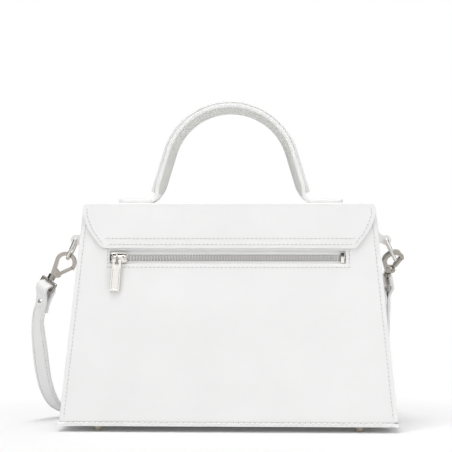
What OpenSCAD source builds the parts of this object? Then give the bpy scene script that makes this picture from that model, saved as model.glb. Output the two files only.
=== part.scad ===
// Trapeze bag with a back zip pocket, top handle, flap and shoulder strap.
// Millimetres, +Z up, back of the bag towards -Y, origin on the floor under the middle of the bag.

/* [Body] */
// Width of the body at its base
base_w = 270; // [220:1:330]
// Width of the body at its top
top_w = 235.4; // [190:0.2:290]
// Depth of the body at its base
base_d = 110; // [90:1:140]
// Depth of the body at its top
top_d = 68; // [50:1:90]
// Height of the top edge of the body above the floor
body_top = 180; // [160:1:220]
// Thickness of the leather panels
panel_t = 2.2; // [1.6:0.1:3]
// Thickness of the base panel
base_t = 3.4; // [2:0.1:5]
// Height of the feet under the base panel
foot_h = 4.6; // [3:0.1:8]
// How far the gussets lie inside the edges of the panels
gusset_inset = 0.6; // [0:0.1:1.5]
// Thickness of the lining
lining_t = 0.8; // [0.5:0.1:1.2]

/* [Flap] */
// Thickness of the outer leather of the flap
flap_t = 1.6; // [1.2:0.1:2.4]
// Thickness of the lining of the flap
flap_lining_t = 0.8; // [0.5:0.1:1.2]
// Height of the lower edge of the sewn back part
flap_back_z = 146.2; // [140:0.2:156]
// Half length of that lower edge
flap_back_half = 102; // [80:1:108]
// Height of the lower edge of the front drop
flap_front_z = 110; // [90:1:130]
// Half length of that lower edge
flap_front_half = 84; // [60:1:100]
// Gap between the drop and the front panel
flap_gap = 0.4; // [0.3:0.1:1]

/* [Handle] */
// Radius of the top arch, measured outside
arch_r = 57; // [45:1:66]
// Height of the top of the handle
handle_top = 266.5; // [250:0.5:290]
// Lean of the legs from the vertical
leg_lean = 17; // [12:1:22]
// Width of the handle
handle_w = 19; // [14:0.5:26]
// Thickness of its inner strap
strap_base_t = 3.4; // [2.4:0.1:4.4]
// Height of the domed cover over the strap
dome_h = 4.2; // [3.4:0.1:6]
// Thickness of the leather of the cover
cover_t = 1.2; // [0.8:0.1:1.6]
// Distance of the tabs' outer ends from the middle
tab_end = 92; // [84:1:100]
// Height of the cover's cut ends
cover_end_z = 192; // [191:0.5:200]

/* [Back zip] */
// Height of the middle of the chain
zip_z = 138.6; // [120:0.2:140]
// Half length of the window
window_half = 94.8; // [60:0.2:100]
// Height of the window
window_h = 10.4; // [10:0.2:13]
// How far the zip sits off the middle
zip_shift = -1; // [-4:0.5:4]
// Distance between two teeth of one side
tooth_pitch = 2.45; // [2:0.05:3]
// Half height of the chain
chain_half = 2.7; // [2.4:0.1:3.2]
// Thickness of the teeth
tooth_t = 2.2; // [1.6:0.1:2.6]
// Length of the slider
slider_l = 13.6; // [11:0.2:16]
// Length of the pull tab
pull_l = 25; // [18:0.5:32]
// Width of the pull tab at its lower end
pull_w = 8; // [6:0.2:10]

/* [Rings and hooks] */
// Height of the bar of each ring
ring_z = 152.5; // [146:0.5:158]
// Distance of each bar from the middle
ring_x = 127.5; // [126:0.5:132]
// Wire radius of the rings
ring_wire = 1.4; // [1:0.1:1.6]
// Half width of a ring between wire middles
ring_half = 9.4; // [8.6:0.1:11]
// Distance from bar to bow
ring_drop = 17.5; // [15:0.5:20]
// Outward tilt of the hanging rings
ring_tilt = 25; // [15:1:32]
// Thickness of the hook bodies
hook_t = 3.6; // [3:0.1:4.4]
// Radius of the hook's arch along its middle
hook_arch_r = 7.4; // [7:0.1:8.4]
// Width of the hook's bar
hook_bar = 3.2; // [2.4:0.1:3.4]
// Height of the middle of the arch above the barrel
hook_h = 14; // [13:0.2:17]
// Radius of the gate pin
pin_r = 1.1; // [0.9:0.05:1.3]
// Wire radius of the swivel loops
swivel_wire = 1.3; // [1:0.1:1.5]
// Distance from the barrel to the loop's bar
swivel_drop = 11.5; // [10:0.5:14]

/* [Shoulder strap] */
// Width of the strap
strap_w = 15; // [12:0.5:15.5]
// Thickness of the strap
strap_t = 2.4; // [1.6:0.1:2.8]

/* [Clearances] */
// Gap of a pin in its hole
pin_clear = 0.05; // [0.02:0.01:0.1]
// Gap between pieces that move past each other
move_clear = 0.35; // [0.3:0.05:0.6]

/* [Hidden] */
$fn = 48;

leather = "whitesmoke";
nickel = "silver";
cloth = "gainsboro";

base_top = foot_h + base_t;
board_t = 2;
body_h = body_top - base_top;

// Half width and half depth of the outer faces at a height
function half_w(z) = base_w / 2 - (base_w - top_w) / 2 * (z - base_top) / body_h;
function half_d(z) = base_d / 2 - (base_d - top_d) / 2 * (z - base_top) / body_h;
back_lean = atan((base_d - top_d) / 2 / body_h);

// A profile in X and Z, drawn from y0 to y1
module along_y(points, y0, y1) {
    translate([0, y1, 0]) rotate([90, 0, 0]) linear_extrude(y1 - y0) polygon(points);
}

// A profile in Y and Z, drawn from x0 to x1
module along_x(points, x0, x1) {
    translate([x0, 0, 0]) rotate([90, 0, 90]) linear_extrude(x1 - x0) polygon(points);
}

// A profile and its mirror image about the middle, as one closed outline
function both_sides(half) = concat(half, [for (i = [len(half) - 1:-1:0]) [-half[i][0], half[i][1]]]);

// A sloped slab parallel to the back panel, between two distances in from its outer face
module back_slab(out, in, z0, z1) {
    along_x([[-half_d(z0) + out, z0], [-half_d(z0) + in, z0],
             [-half_d(z1) + in, z1], [-half_d(z1) + out, z1]], -base_w, base_w);
}

module front_side() {
    mirror([0, 1, 0]) children();
}

// The whole width of the body between two heights, drawn right through in Y
module body_outline(z0, z1, inset = 0) {
    along_y([[-half_w(z0) + inset, z0], [half_w(z0) - inset, z0],
             [half_w(z1) - inset, z1], [-half_w(z1) + inset, z1]], -base_d, base_d);
}

// Frame of the zip: X along the chain, Y up the panel, Z out of the panel's face
module zip_frame() {
    translate([zip_shift, -half_d(zip_z), zip_z]) rotate([90 - back_lean, 0, 0]) children();
}

module box(low, high) {
    translate(low) cube(high - low);
}

magnet_z = 128;
magnet_r = 8;
window_rise = 0.4;

module magnet_place() {
    front_side() translate([0, -half_d(magnet_z), magnet_z]) rotate([90 - back_lean, 0, 0]) children();
}

module back_panel() {
    color(leather) difference() {
        intersection() {
            back_slab(0, panel_t, base_top, body_top);
            body_outline(base_top, body_top);
        }
        zip_frame() box([-window_half, -window_h / 2 + window_rise, -3 * panel_t],
                        [window_half, window_h / 2 + window_rise, 3 * panel_t]);
    }
}

module front_panel() {
    color(leather) difference() {
        front_side() intersection() {
            back_slab(0, panel_t, base_top, body_top);
            body_outline(base_top, body_top);
        }
        magnet_place() translate([0, 0, -3 * panel_t]) cylinder(r = magnet_r + pin_clear, h = 6 * panel_t);
    }
}

foot_x = base_w / 2 - 30;
foot_y = base_d / 2 - 11;
foot_shank_r = 1.5;

module at_feet() {
    for (x = [-foot_x, foot_x], y = [-foot_y, foot_y]) translate([x, y, 0]) children();
}

module base_panel() {
    color(leather) difference() {
        box([-base_w / 2, -base_d / 2, foot_h], [base_w / 2, base_d / 2, base_top]);
        at_feet() cylinder(r = foot_shank_r, h = 3 * base_top);
    }
}

gusset_top = 172;

module gusset(side) {
    outer0 = half_w(base_top) - gusset_inset;
    outer1 = half_w(gusset_top) - gusset_inset;
    inner0 = half_d(base_top) - panel_t;
    inner1 = half_d(gusset_top) - panel_t;
    color(leather) intersection() {
        along_y([[side * outer0, base_top], [side * outer1, gusset_top],
                 [side * (outer1 - panel_t), gusset_top], [side * (outer0 - panel_t), base_top]],
                -base_d, base_d);
        along_x([[-inner0, base_top], [inner0, base_top], [inner1, gusset_top], [-inner1, gusset_top]],
                -base_w, base_w);
    }
}

// Space inside the panels, less a margin on each side, with its own margin at the back
module inside(margin, back_margin, z0, z1) {
    side = gusset_inset + panel_t + margin;
    intersection() {
        body_outline(z0, z1, side);
        along_x([[-half_d(z0) + back_margin, z0], [half_d(z0) - panel_t - margin, z0],
                 [half_d(z1) - panel_t - margin, z1], [-half_d(z1) + back_margin, z1]], -base_w, base_w);
    }
}

pocket_face = panel_t + 1.45;
pocket_depth = 2.6;
lining_back = pocket_face + pocket_depth + 0.15;
washer_t = 0.5;
lining_floor = base_top + board_t + washer_t + 0.1;
lining_top = gusset_top - 1;

module lining() {
    color(cloth) difference() {
        inside(0.1, lining_back, lining_floor, lining_top);
        inside(0.1 + lining_t, lining_back + lining_t, lining_floor + lining_t, body_top);
    }
}

slip_half = 75;
slip_low = 60;
slip_high = 140;
slip_gap = 1.6;
slip_t = 0.8;
slip_edge = 3;

// Slip pocket on the front lining: a sheet held off the lining by its sewn sides and bottom
module inner_pocket() {
    start = panel_t + 0.1 + lining_t;
    color(cloth) front_side() intersection() {
        difference() {
            back_slab(start, start + slip_gap + slip_t, slip_low, slip_high);
            intersection() {
                back_slab(start - 1, start + slip_gap, slip_low + slip_edge, slip_high + 1);
                box([-slip_half + slip_edge, -base_d, 0], [slip_half - slip_edge, base_d, body_top]);
            }
        }
        box([-slip_half, -base_d, 0], [slip_half, base_d, body_top]);
    }
}

module base_board() {
    margin = 2;
    color("tan") difference() {
        inside(margin, panel_t + margin, base_top, base_top + board_t);
        at_feet() cylinder(r = foot_shank_r, h = 3 * base_top);
    }
}

module feet() {
    color(nickel) at_feet() {
        cylinder(r1 = 3.2, r2 = 4.6, h = foot_h);
        translate([0, 0, foot_h - 0.5]) cylinder(r = foot_shank_r, h = 0.5 + base_t + board_t);
    }
}

module foot_washers() {
    wall = 1.6;
    color(nickel) at_feet() translate([0, 0, base_top + board_t]) cylinder(r = foot_shank_r + wall, h = washer_t);
}

flap_all = flap_t + flap_lining_t;
flap_top_z = body_top + 0.2 + flap_all;
fold_z = body_top + 0.2 + flap_all / 2;
back_fold_y = -top_d / 2 - flap_all / 2;
front_fold_y = top_d / 2 + flap_gap + flap_all / 2;
flap_half = top_w / 2 + 0.3;
shoulder_z = fold_z - 7.4;

// Half outline of the flap where it turns over the edges, from its lower corner upwards
function flap_ends(low_half, low_z) = [
    [low_half, low_z], [flap_half - 5.5, low_z + 0.4 * (shoulder_z - low_z) + 3],
    [flap_half - 1.6, shoulder_z - 5], [flap_half, shoulder_z], [flap_half - 0.8, shoulder_z + 4.6],
    [flap_half - 2, body_top + 4]
];

module flap_back() {
    top = fold_z - flap_all / 2 - move_clear;
    color(leather) intersection() {
        back_slab(-flap_all, 0, flap_back_z, top);
        along_y(both_sides(flap_ends(flap_back_half, flap_back_z)), -base_d, base_d);
    }
}

// The top of the flap from the back fold to just short of the front fold
module top_plate(z0, z1, y0, y1) {
    half = flap_half - 2;
    box([-half, y0, z0], [half, y1, z1]);
}

module flap_top() {
    color(leather) union() {
        top_plate(flap_top_z - flap_t, flap_top_z, back_fold_y, front_fold_y - flap_all / 2 - move_clear);
        intersection() {
            translate([-flap_half + 2, back_fold_y, fold_z]) rotate([0, 90, 0])
                cylinder(r = flap_all / 2, h = 2 * flap_half - 4);
            box([-flap_half, back_fold_y - flap_all, fold_z - flap_all],
                [flap_half, back_fold_y, fold_z + flap_all]);
        }
    }
}

module flap_top_lining() {
    color(cloth) top_plate(flap_top_z - flap_all, flap_top_z - flap_t, back_fold_y,
                           front_fold_y - flap_all / 2 - move_clear);
}

// The front drop hangs from the front fold, parallel to the front panel
module drop_slab(out, in, z0, z1) {
    front_side() back_slab(-flap_gap - out, -flap_gap - in, z0, z1);
}

module drop_shape() {
    along_y(both_sides(flap_ends(flap_front_half, flap_front_z)), -base_d, base_d);
}

module flap_front() {
    color(leather) union() {
        intersection() {
            drop_slab(flap_all, flap_lining_t, flap_front_z, body_top);
            drop_shape();
        }
        translate([-flap_half + 2, front_fold_y, fold_z]) rotate([0, 90, 0])
            cylinder(r = flap_all / 2, h = 2 * flap_half - 4);
        box([-flap_half + 2, front_fold_y, body_top - 0.6], [flap_half - 2, front_fold_y + flap_all / 2, fold_z]);
    }
}

module flap_front_lining() {
    color(cloth) difference() {
        intersection() {
            drop_slab(flap_lining_t, 0, flap_front_z, body_top - 2);
            drop_shape();
        }
        magnet_place() translate([0, 0, -panel_t]) cylinder(r = magnet_r + pin_clear, h = 2 * panel_t + 2);
    }
}

module flap_magnet() {
    flat = cos(back_lean);
    color(nickel) magnet_place() translate([0, 0, flap_gap * flat])
        cylinder(r = magnet_r, h = flap_lining_t * flat - pin_clear);
}

module panel_magnet() {
    color(nickel) magnet_place() translate([0, 0, -panel_t]) cylinder(r = magnet_r, h = panel_t);
}

// Handle: a top arc and two leaning legs, then the inner strap turns out flat on the flap
arch_z = handle_top - arch_r;
handle_t = strap_base_t + dome_h;
leg_start_z = arch_z + arch_r * sin(leg_lean);

// X of a leg's face at a height, for a face at a distance from the arch's middle
function leg_x(z, r) = r / cos(leg_lean) + (arch_z - z) * tan(leg_lean);

// Sections across the handle: X is the distance from the arch's middle, Y runs across the width
module dome_section(width, height) {
    r = (width * width / 4 + height * height) / (2 * height);
    start = arch_r - dome_h;
    intersection() {
        translate([start, -width / 2]) square([height, width]);
        translate([start + height - r, 0]) circle(r = r, $fn = 96);
    }
}

module core_section() {
    dome_section(handle_w - 4 * cover_t, dome_h - cover_t);
}

// Draws a section round the arc and down both legs to a height
module bent_handle(end_z) {
    leg = (leg_start_z - end_z) / cos(leg_lean);
    translate([0, 0, arch_z]) rotate([90, 0, 0]) rotate([0, 0, leg_lean])
        rotate_extrude(angle = 180 - 2 * leg_lean, $fn = 96) children();
    for (side = [0, 1]) mirror([side, 0, 0]) translate([0, 0, arch_z]) rotate([0, -leg_lean, 0])
        translate([0, 0, -leg]) linear_extrude(leg) children();
}

module handle_strap() {
    seat = flap_top_z;
    face = seat + strap_base_t;
    inner = arch_r - handle_t;
    outer = arch_r - dome_h;
    join_z = cover_end_z - handle_t * sin(leg_lean);
    color(leather) {
        bent_handle(face - 1) translate([inner, -handle_w / 2]) square([strap_base_t, handle_w]);
        for (side = [0, 1]) mirror([side, 0, 0])
            along_y([[leg_x(join_z, inner), join_z], [leg_x(seat + 2, inner), seat + 2],
                     [leg_x(seat, inner) + 1.4, seat + 0.5], [leg_x(seat, inner) + 3, seat],
                     [tab_end, seat], [tab_end, face], [leg_x(face, outer) + 2.5, face],
                     [leg_x(face + 2, outer) + 0.6, face + 1.6],
                     [leg_x(join_z, outer), join_z]], -handle_w / 2, handle_w / 2);
    }
}

module handle_core() {
    color("tan") bent_handle(cover_end_z + 1) core_section();
}

module handle_cover() {
    color(leather) bent_handle(cover_end_z) difference() {
        dome_section(handle_w, dome_h);
        core_section();
    }
}

// Back zip, in the frame of the zip
tape_t = 0.8;
tape_half = 13;
teeth_face = -1.4;
tooth_w = 0.4 * tooth_pitch;
teeth_count = floor((2 * window_half - 6) / tooth_pitch);
teeth_start = -teeth_count * tooth_pitch / 2;

module zip_tape(side) {
    color(leather) zip_frame() scale_y(side)
        box([-window_half - 6, chain_half, -panel_t - tape_t], [window_half + 6, tape_half, -panel_t]);
}

module scale_y(side) {
    mirror([0, side < 0 ? 1 : 0, 0]) children();
}

// One side of the chain: a bead with teeth that reach past the middle between the other side's teeth
module zip_teeth(side) {
    reach = chain_half - 0.6 - 0.3;
    bead = chain_half - 0.6;
    comb = [
        for (i = [0:teeth_count - 1]) let (x = teeth_start + (i + (side > 0 ? 0.5 : 0)) * tooth_pitch)
            each [[x - tooth_w / 2, bead], [x - tooth_w / 2, -reach], [x + tooth_w / 2, -reach],
                  [x + tooth_w / 2, bead]]
    ];
    end = -teeth_start + tooth_pitch;
    color(nickel) zip_frame() scale_y(side) translate([0, 0, teeth_face - tooth_t]) linear_extrude(tooth_t)
        polygon(concat([[-end, chain_half], [-end, bead]], comb, [[end, bead], [end, chain_half]]));
}

stop_l = 3.6;
stop_half = 4.6;

// Box stop at the open end of the chain and the two top stops under the closed slider
module zip_stops() {
    color(nickel) zip_frame() {
        box([window_half - stop_l - 0.6, -stop_half, teeth_face + 0.05],
            [window_half - 0.6, stop_half, teeth_face + 1.2]);
        for (y = [-chain_half - 1.2, chain_half])
            box([-window_half + 0.3, y, -panel_t], [-window_half + 1.4, y + 1.2, teeth_face + 0.3]);
    }
}

pocket_half = window_half + 4;
pocket_drop = 84;
pocket_rise = 10;
pocket_wall = 0.6;

module zip_pocket() {
    low = [-pocket_half, -pocket_drop, -pocket_face - pocket_depth];
    high = [pocket_half, pocket_rise, -pocket_face];
    wall = [pocket_wall, pocket_wall, pocket_wall];
    color(cloth) zip_frame() difference() {
        box(low, high);
        box(low + wall, high - wall);
        box([-window_half, -chain_half, -pocket_face - pocket_depth / 2], [window_half, chain_half, 0]);
    }
}

plate_low = -1.05;
plate_high = 0.75;
slider_half = 4.5;
crown_r = 0.95;
link_wire = 0.7;
link_gap = 1.3;
crown_z = plate_high + link_gap + 2 * link_wire + 0.3;
slider_x = -window_half + slider_l / 2 + 0.8;
link_x = slider_x - 1.5;
link_low = -4.9;
pull_lean = 4;
pull_roll = -5;

module zip_slider() {
    color(nickel) zip_frame() translate([slider_x, 0, 0]) {
        box([-slider_l / 2, -slider_half, plate_low], [slider_l / 2, slider_half, plate_high]);
        for (side = [-1, 1]) scale_y(side)
            box([-slider_l / 2 + 1.2, chain_half + 0.6, -panel_t + 0.15],
                [slider_l / 2 - 1.2, slider_half, plate_low]);
        for (x = [-slider_l / 2 + 0.8, slider_l / 2 - 2.4])
            translate([x, 0, plate_high - 0.1]) box([0, -1.4, 0], [1.6, 1.4, crown_z + crown_r - plate_high]);
        translate([-slider_l / 2 + 1.6, 0, crown_z]) rotate([0, 90, 0])
            cylinder(r = crown_r, h = slider_l - 3.2);
    }
}

// The link hangs round the crown's bar and carries the tab at its lower end
module link_wires() {
    reach = link_gap + link_wire;
    round_off = 0.4 * reach;
    wire_loop([[0, reach, -round_off], [0, reach, round_off], [0, round_off, reach], [0, link_low, reach],
               [0, link_low, -reach], [0, round_off, -reach]], link_wire);
}

module pull_place() {
    zip_frame() translate([link_x, 0, crown_z]) rotate([pull_lean, 0, 0]) children();
}

module zip_link() {
    color(nickel) pull_place() link_wires();
}

module zip_pull() {
    thin = 0.95;
    thick = 1.3;
    neck = 1.6;
    slot = 1.5;
    top = link_low + link_wire + neck + 0.2;
    color(nickel) pull_place() translate([0, link_low, 0]) rotate([0, 0, pull_roll])
    translate([0, -link_low, 0]) difference() {
        union() {
            translate([0, 0, -thin]) linear_extrude(2 * thin)
                polygon([[-pull_w / 2 + 0.6, top], [pull_w / 2 - 0.6, top],
                         [pull_w / 2 - 0.5, top - 6], [-pull_w / 2 + 0.5, top - 6]]);
            translate([0, 0, -thick]) linear_extrude(2 * thick)
                polygon([[-pull_w / 2 + 0.5, top - 5], [pull_w / 2 - 0.5, top - 5],
                         [pull_w / 2, top - pull_l], [-pull_w / 2, top - pull_l]]);
        }
        box([-slot, link_low - 1.1, -3], [slot, top - neck, 3]);
    }
}

// A wire through a list of points, with round joints
module wire_run(points, r) {
    for (i = [0:len(points) - 2]) {
        d = points[i + 1] - points[i];
        translate(points[i]) rotate([0, acos(d[2] / norm(d)), atan2(d[1], d[0])])
            cylinder(r = r, h = norm(d), $fn = 24);
    }
    for (p = points) translate(p) sphere(r = r, $fn = 24);
}

module wire_loop(points, r) {
    wire_run(concat(points, [points[0]]), r);
}

// Rings at both sides; side is -1 on the left and 1 on the right
module ring_place(side) {
    translate([side * ring_x, 0, ring_z]) rotate([0, -side * ring_tilt, 0]) children();
}

module ring(side) {
    legs = ring_drop - ring_half;
    color(nickel) ring_place(side) {
        wire_run([[0, -ring_half, -legs], [0, -ring_half, 0], [0, ring_half, 0], [0, ring_half, -legs]],
                 ring_wire);
        translate([0, 0, -legs]) rotate([0, 90, 0]) rotate([0, 0, -90])
            rotate_extrude(angle = 180, $fn = 64) translate([ring_half, 0]) circle(r = ring_wire, $fn = 24);
    }
}

loop_r = 3.6;
loop_half = 6.8;
tab_high = 20;

// Leather loop round the ring's bar, with both ends sewn up the gusset
module ring_loop(side) {
    face = half_w(ring_z) - gusset_inset;
    top_face = half_w(ring_z + tab_high - 1) - gusset_inset;
    color(leather) mirror([side < 0 ? 1 : 0, 0, 0]) difference() {
        union() {
            translate([ring_x, -loop_half, ring_z]) rotate([-90, 0, 0]) cylinder(r = loop_r, h = 2 * loop_half);
            along_y([[face, ring_z], [ring_x - 1, ring_z - loop_r + 0.2], [ring_x, ring_z],
                     [ring_x - 0.5, ring_z + loop_r - 0.1], [top_face + 3, ring_z + tab_high - 1],
                     [top_face, ring_z + tab_high - 1]], -loop_half, loop_half);
        }
        translate([ring_x, -base_d, ring_z]) rotate([-90, 0, 0])
            cylinder(r = ring_wire + pin_clear, h = 2 * base_d);
    }
}

// Hooks are drawn with the barrel's top at the origin, Z up the shank and X towards the gate
arch_x = 4.2;
seat_gap = 1;
wire_seat = hook_h + hook_arch_r - hook_bar / 2 - ring_wire - seat_gap;
left_turn = [0, 29.6, 0];
right_turn = [43.1, -12.1, 12.6];
left_swivel_turn = -44;
right_swivel_turn = 77;
left_fold_lean = 21.5;
right_fold_lean = 0;
// Where on its ring each hook hangs, as an angle along the bow from its lowest point
left_bow_angle = 0;
right_bow_angle = 47;

function bow_point(side, a) =
    let (legs = ring_drop - ring_half, down = legs + ring_half * cos(a))
    [side * (ring_x + down * sin(ring_tilt)), ring_half * sin(a), ring_z - down * cos(ring_tilt)];

module hook_place(side) {
    translate(bow_point(side, side < 0 ? left_bow_angle : right_bow_angle))
        rotate(side < 0 ? left_turn : right_turn) translate([-arch_x, 0, -wire_seat]) children();
}

pivot = [3.4, 2.2];
gate_reach = 13.2;
gate_bar = 2.9;
cheek_t = 4.6;
gate_thin = 2;
barrel_r = 3.2;
barrel_l = 4.2;
shank_r = 1.5;

module flat_y(thickness) {
    rotate([90, 0, 0]) translate([0, 0, -thickness / 2]) linear_extrude(thickness) children();
}

module gate_circle(r) {
    translate(pivot) circle(r = r, $fn = 96);
}

module hook(side) {
    half = hook_bar / 2;
    color(nickel) hook_place(side) difference() {
        union() {
            flat_y(hook_t) {
                polygon([[-1.9, -0.5], [1.9, -0.5], [arch_x - hook_arch_r + half, hook_h],
                         [arch_x - hook_arch_r - half, hook_h]]);
                difference() {
                    translate([arch_x, hook_h]) circle(r = hook_arch_r + half, $fn = 64);
                    translate([arch_x, hook_h]) circle(r = hook_arch_r - half, $fn = 64);
                    translate([-20, hook_h - 20]) square([60, 20]);
                }
                difference() {
                    translate([arch_x + hook_arch_r - half, hook_h - 4]) square([hook_bar, 4.01]);
                    gate_circle(gate_reach + 0.3);
                }
            }
            flat_y(cheek_t) {
                translate(pivot) circle(r = 2.7);
                polygon([[-1.5, -0.5], [pivot[0], -0.5], [pivot[0], 4.9], [-1.6, 7]]);
            }
            translate([0, 0, -barrel_l]) cylinder(r = barrel_r, h = barrel_l);
        }
        flat_y(gate_thin + 0.4) {
            gate_circle(3.1);
            translate([pivot[0], pivot[1] - 3.1]) square([12, 12]);
        }
        translate([pivot[0], cheek_t, pivot[1]]) rotate([90, 0, 0]) cylinder(r = pin_r, h = 2 * cheek_t);
        translate([0, 0, -barrel_l - 1]) cylinder(r = shank_r + pin_clear, h = barrel_l);
        translate([0, 0, -2.4]) cylinder(r = shank_r + 0.8 + pin_clear, h = 1.4);
    }
}

module gate(side) {
    turn = atan2(hook_h - 0.4 - pivot[1], arch_x + hook_arch_r - pivot[0]);
    color(nickel) hook_place(side) difference() {
        union() {
            flat_y(gate_thin) {
                gate_circle(2.3);
                translate(pivot) rotate(turn) translate([0, -gate_bar / 2]) square([6, gate_bar]);
            }
            flat_y(hook_t) intersection() {
                gate_circle(gate_reach);
                translate(pivot) rotate(turn) translate([4.4, -gate_bar / 2]) square([gate_reach, gate_bar]);
            }
        }
        translate([pivot[0], cheek_t, pivot[1]]) rotate([90, 0, 0])
            cylinder(r = pin_r + pin_clear, h = 2 * cheek_t);
    }
}

module gate_pin(side) {
    color(nickel) hook_place(side) translate([pivot[0], cheek_t / 2 + 0.4, pivot[1]]) rotate([90, 0, 0])
        cylinder(r = pin_r, h = cheek_t + 0.8);
}

swivel_half = strap_w / 2 + 0.6 + swivel_wire;
swivel_top = barrel_l + 0.4 + swivel_wire;

module swivel(side) {
    color(nickel) hook_place(side) rotate([0, 0, side < 0 ? left_swivel_turn : right_swivel_turn]) {
        wire_loop([[-swivel_half, 0, -swivel_top], [swivel_half, 0, -swivel_top],
                   [swivel_half, 0, -swivel_drop], [-swivel_half, 0, -swivel_drop]], swivel_wire);
        translate([0, 0, -swivel_top]) cylinder(r = shank_r, h = swivel_top - 1.5);
        translate([0, 0, -2.3]) cylinder(r = shank_r + 0.7, h = 1.2);
    }
}

eye_r = 3;
fold_l = 18;
rivet_drop = 12.5;
rivet_shank = 1.2;
rivet_dome_r = 4;
rivet_dome_set = 2;

// Frame of a folded strap end: origin in the eye, X across the strap, -Z along it, -Y on its face
module fold_place(side) {
    hook_place(side) rotate([0, 0, side < 0 ? left_swivel_turn : right_swivel_turn])
        translate([0, 0, -swivel_drop]) rotate([side < 0 ? left_fold_lean : right_fold_lean, 0, 0])
            translate([0, 0, swivel_wire + 0.3 - eye_r]) children();
}

// A profile in the fold's side view, drawn across the strap
module across(width) {
    translate([-width / 2, 0, 0]) rotate([90, 0, 90]) linear_extrude(width) children();
}

module strap_end(side) {
    out = eye_r + strap_t;
    straight = -fold_l + 9.5;
    color(leather) fold_place(side) difference() {
        union() {
            across(strap_w) circle(r = out);
            across(strap_w) polygon([[-out + 0.3, -1.4], [out - 0.3, -1.4], [strap_t, straight],
                                     [strap_t, -fold_l], [-strap_t, -fold_l], [-strap_t, straight]]);
        }
        across(2 * strap_w) circle(r = eye_r);
        across(2 * strap_w) polygon([[-eye_r + 0.3, -1], [eye_r - 0.3, -1], [0, -8]]);
        translate([0, out, -rivet_drop]) rotate([90, 0, 0]) cylinder(r = rivet_shank + pin_clear, h = 2 * out);
    }
}

module strap_rivets() {
    color(nickel) for (side = [-1, 1]) fold_place(side) translate([0, 0, -rivet_drop]) {
        rotate([90, 0, 0]) translate([0, 0, -strap_t]) cylinder(r = rivet_shank, h = 2 * strap_t);
        for (out = [-1, 1]) intersection() {
            translate([0, out * (strap_t - rivet_dome_set), 0]) sphere(r = rivet_dome_r);
            translate([-rivet_dome_r, out > 0 ? strap_t : -strap_t - rivet_dome_r, -rivet_dome_r])
                cube([2 * rivet_dome_r, rivet_dome_r, 2 * rivet_dome_r]);
        }
    }
}

// Route of the free strap between its two folded ends: X, Y, Z of the middle, then the direction of
// the width as an angle from +X seen from above and its rise from the level
strap_route = [
    [-158.4, 4.4, 95.4, -48, -21], [-160.6, 6.8, 86.6, -46, -15], [-160.8, 9.5, 76, -37, -8],
    [-160, 13, 63, -29, -3], [-159.3, 18.5, 49, -28, 0], [-158.2, 26, 35.5, -30, 0],
    [-155.8, 37, 22, -32, 0], [-151, 51, 10.5, -35, 0], [-141.5, 64.5, 4, -44, 0], [-125, 77, 1.5, -58, 0],
    [-98, 85, 1.2, -76, 0],
    [-60, 88, 1.2, -90, 0], [-10, 87, 1.2, -90, 0], [40, 87, 1.2, -88, 0], [66, 92, 1.2, -62, 0],
    [84, 108, 1.2, -32, 0], [90, 130, 1.2, 0, 0], [84, 152, 1.2, 32, 0], [66, 168, 1.2, 60, 0],
    [40, 174, 1.2, 88, 0], [0, 174, 1.2, 90, 0], [-40, 174, 1.2, 92, 0], [-64, 167, 1.2, 122, 0],
    [-78, 151, 1.2, 150, 0], [-82, 134, 1.2, 182, 0], [-75, 118, 1.2, 214, 0], [-58, 108, 1.2, 246, 0],
    [-35, 104, 1.2, 268, 0], [0, 105, 1.2, 271, 0], [36, 107, 1.2, 273, 0], [60, 108, 3, 272, 0],
    [82, 109, 4.4, 271, 0], [102, 110, 5, 270, 0], [118, 110, 9, 270, 0], [127.5, 107, 20, 271, -8],
    [131, 99, 35, 273, -20], [131.5, 88, 50.5, 275, -30], [131.4, 75, 66, 276, -38],
    [131.2, 62.5, 80.5, 278, -42], [131, 51.2, 92.4, 279, -44], [130.9, 40, 103.9, 279, -44]
];
route_steps = 2;

function width_way(p) = [cos(p[4]) * cos(p[3]), cos(p[4]) * sin(p[3]), sin(p[4])];
function between(a, b, c, d, t) =
    0.5 * (2 * b + (c - a) * t + (2 * a - 5 * b + 4 * c - d) * t * t + (3 * b - a - 3 * c + d) * t * t * t);
function route_point(i, t) = let (last = len(strap_route) - 1)
    between(strap_route[max(i - 1, 0)], strap_route[i], strap_route[min(i + 1, last)],
            strap_route[min(i + 2, last)], t);
function unit(v) = v / norm(v);

// Flat eight-sided section across the strap at a point of the route
strap_bevel = 0.7;
function strap_ring(p, way) =
    let (w = unit(width_way(p) - (width_way(p) * way) * way), n = cross(way, w), at = [p[0], p[1], p[2]],
         x = strap_w / 2, y = strap_t / 2, b = strap_bevel)
    [for (c = [[x, -y + b], [x, y - b], [x - b, y], [-x + b, y], [-x, y - b], [-x, -y + b],
               [-x + b, -y], [x - b, -y]]) at + c[0] * w + c[1] * n];

module shoulder_strap() {
    path = [
        for (i = [0:len(strap_route) - 2], s = [0:route_steps - 1]) route_point(i, s / route_steps),
        strap_route[len(strap_route) - 1]
    ];
    last = len(path) - 1;
    spots = [for (p = path) [p[0], p[1], p[2]]];
    ways = [for (i = [0:last]) unit(spots[min(i + 1, last)] - spots[max(i - 1, 0)])];
    rings = [for (i = [0:last]) each strap_ring(path[i], ways[i])];
    sides = 8;
    color(leather) polyhedron(rings, concat(
        [[for (k = [0:sides - 1]) k]],
        [[for (k = [sides - 1:-1:0]) last * sides + k]],
        [for (i = [0:last - 1], k = [0:sides - 1]) let (a = i * sides + k, b = i * sides + (k + 1) % sides)
            each [[a, a + sides, b], [b, a + sides, b + sides]]]));
}

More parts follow.
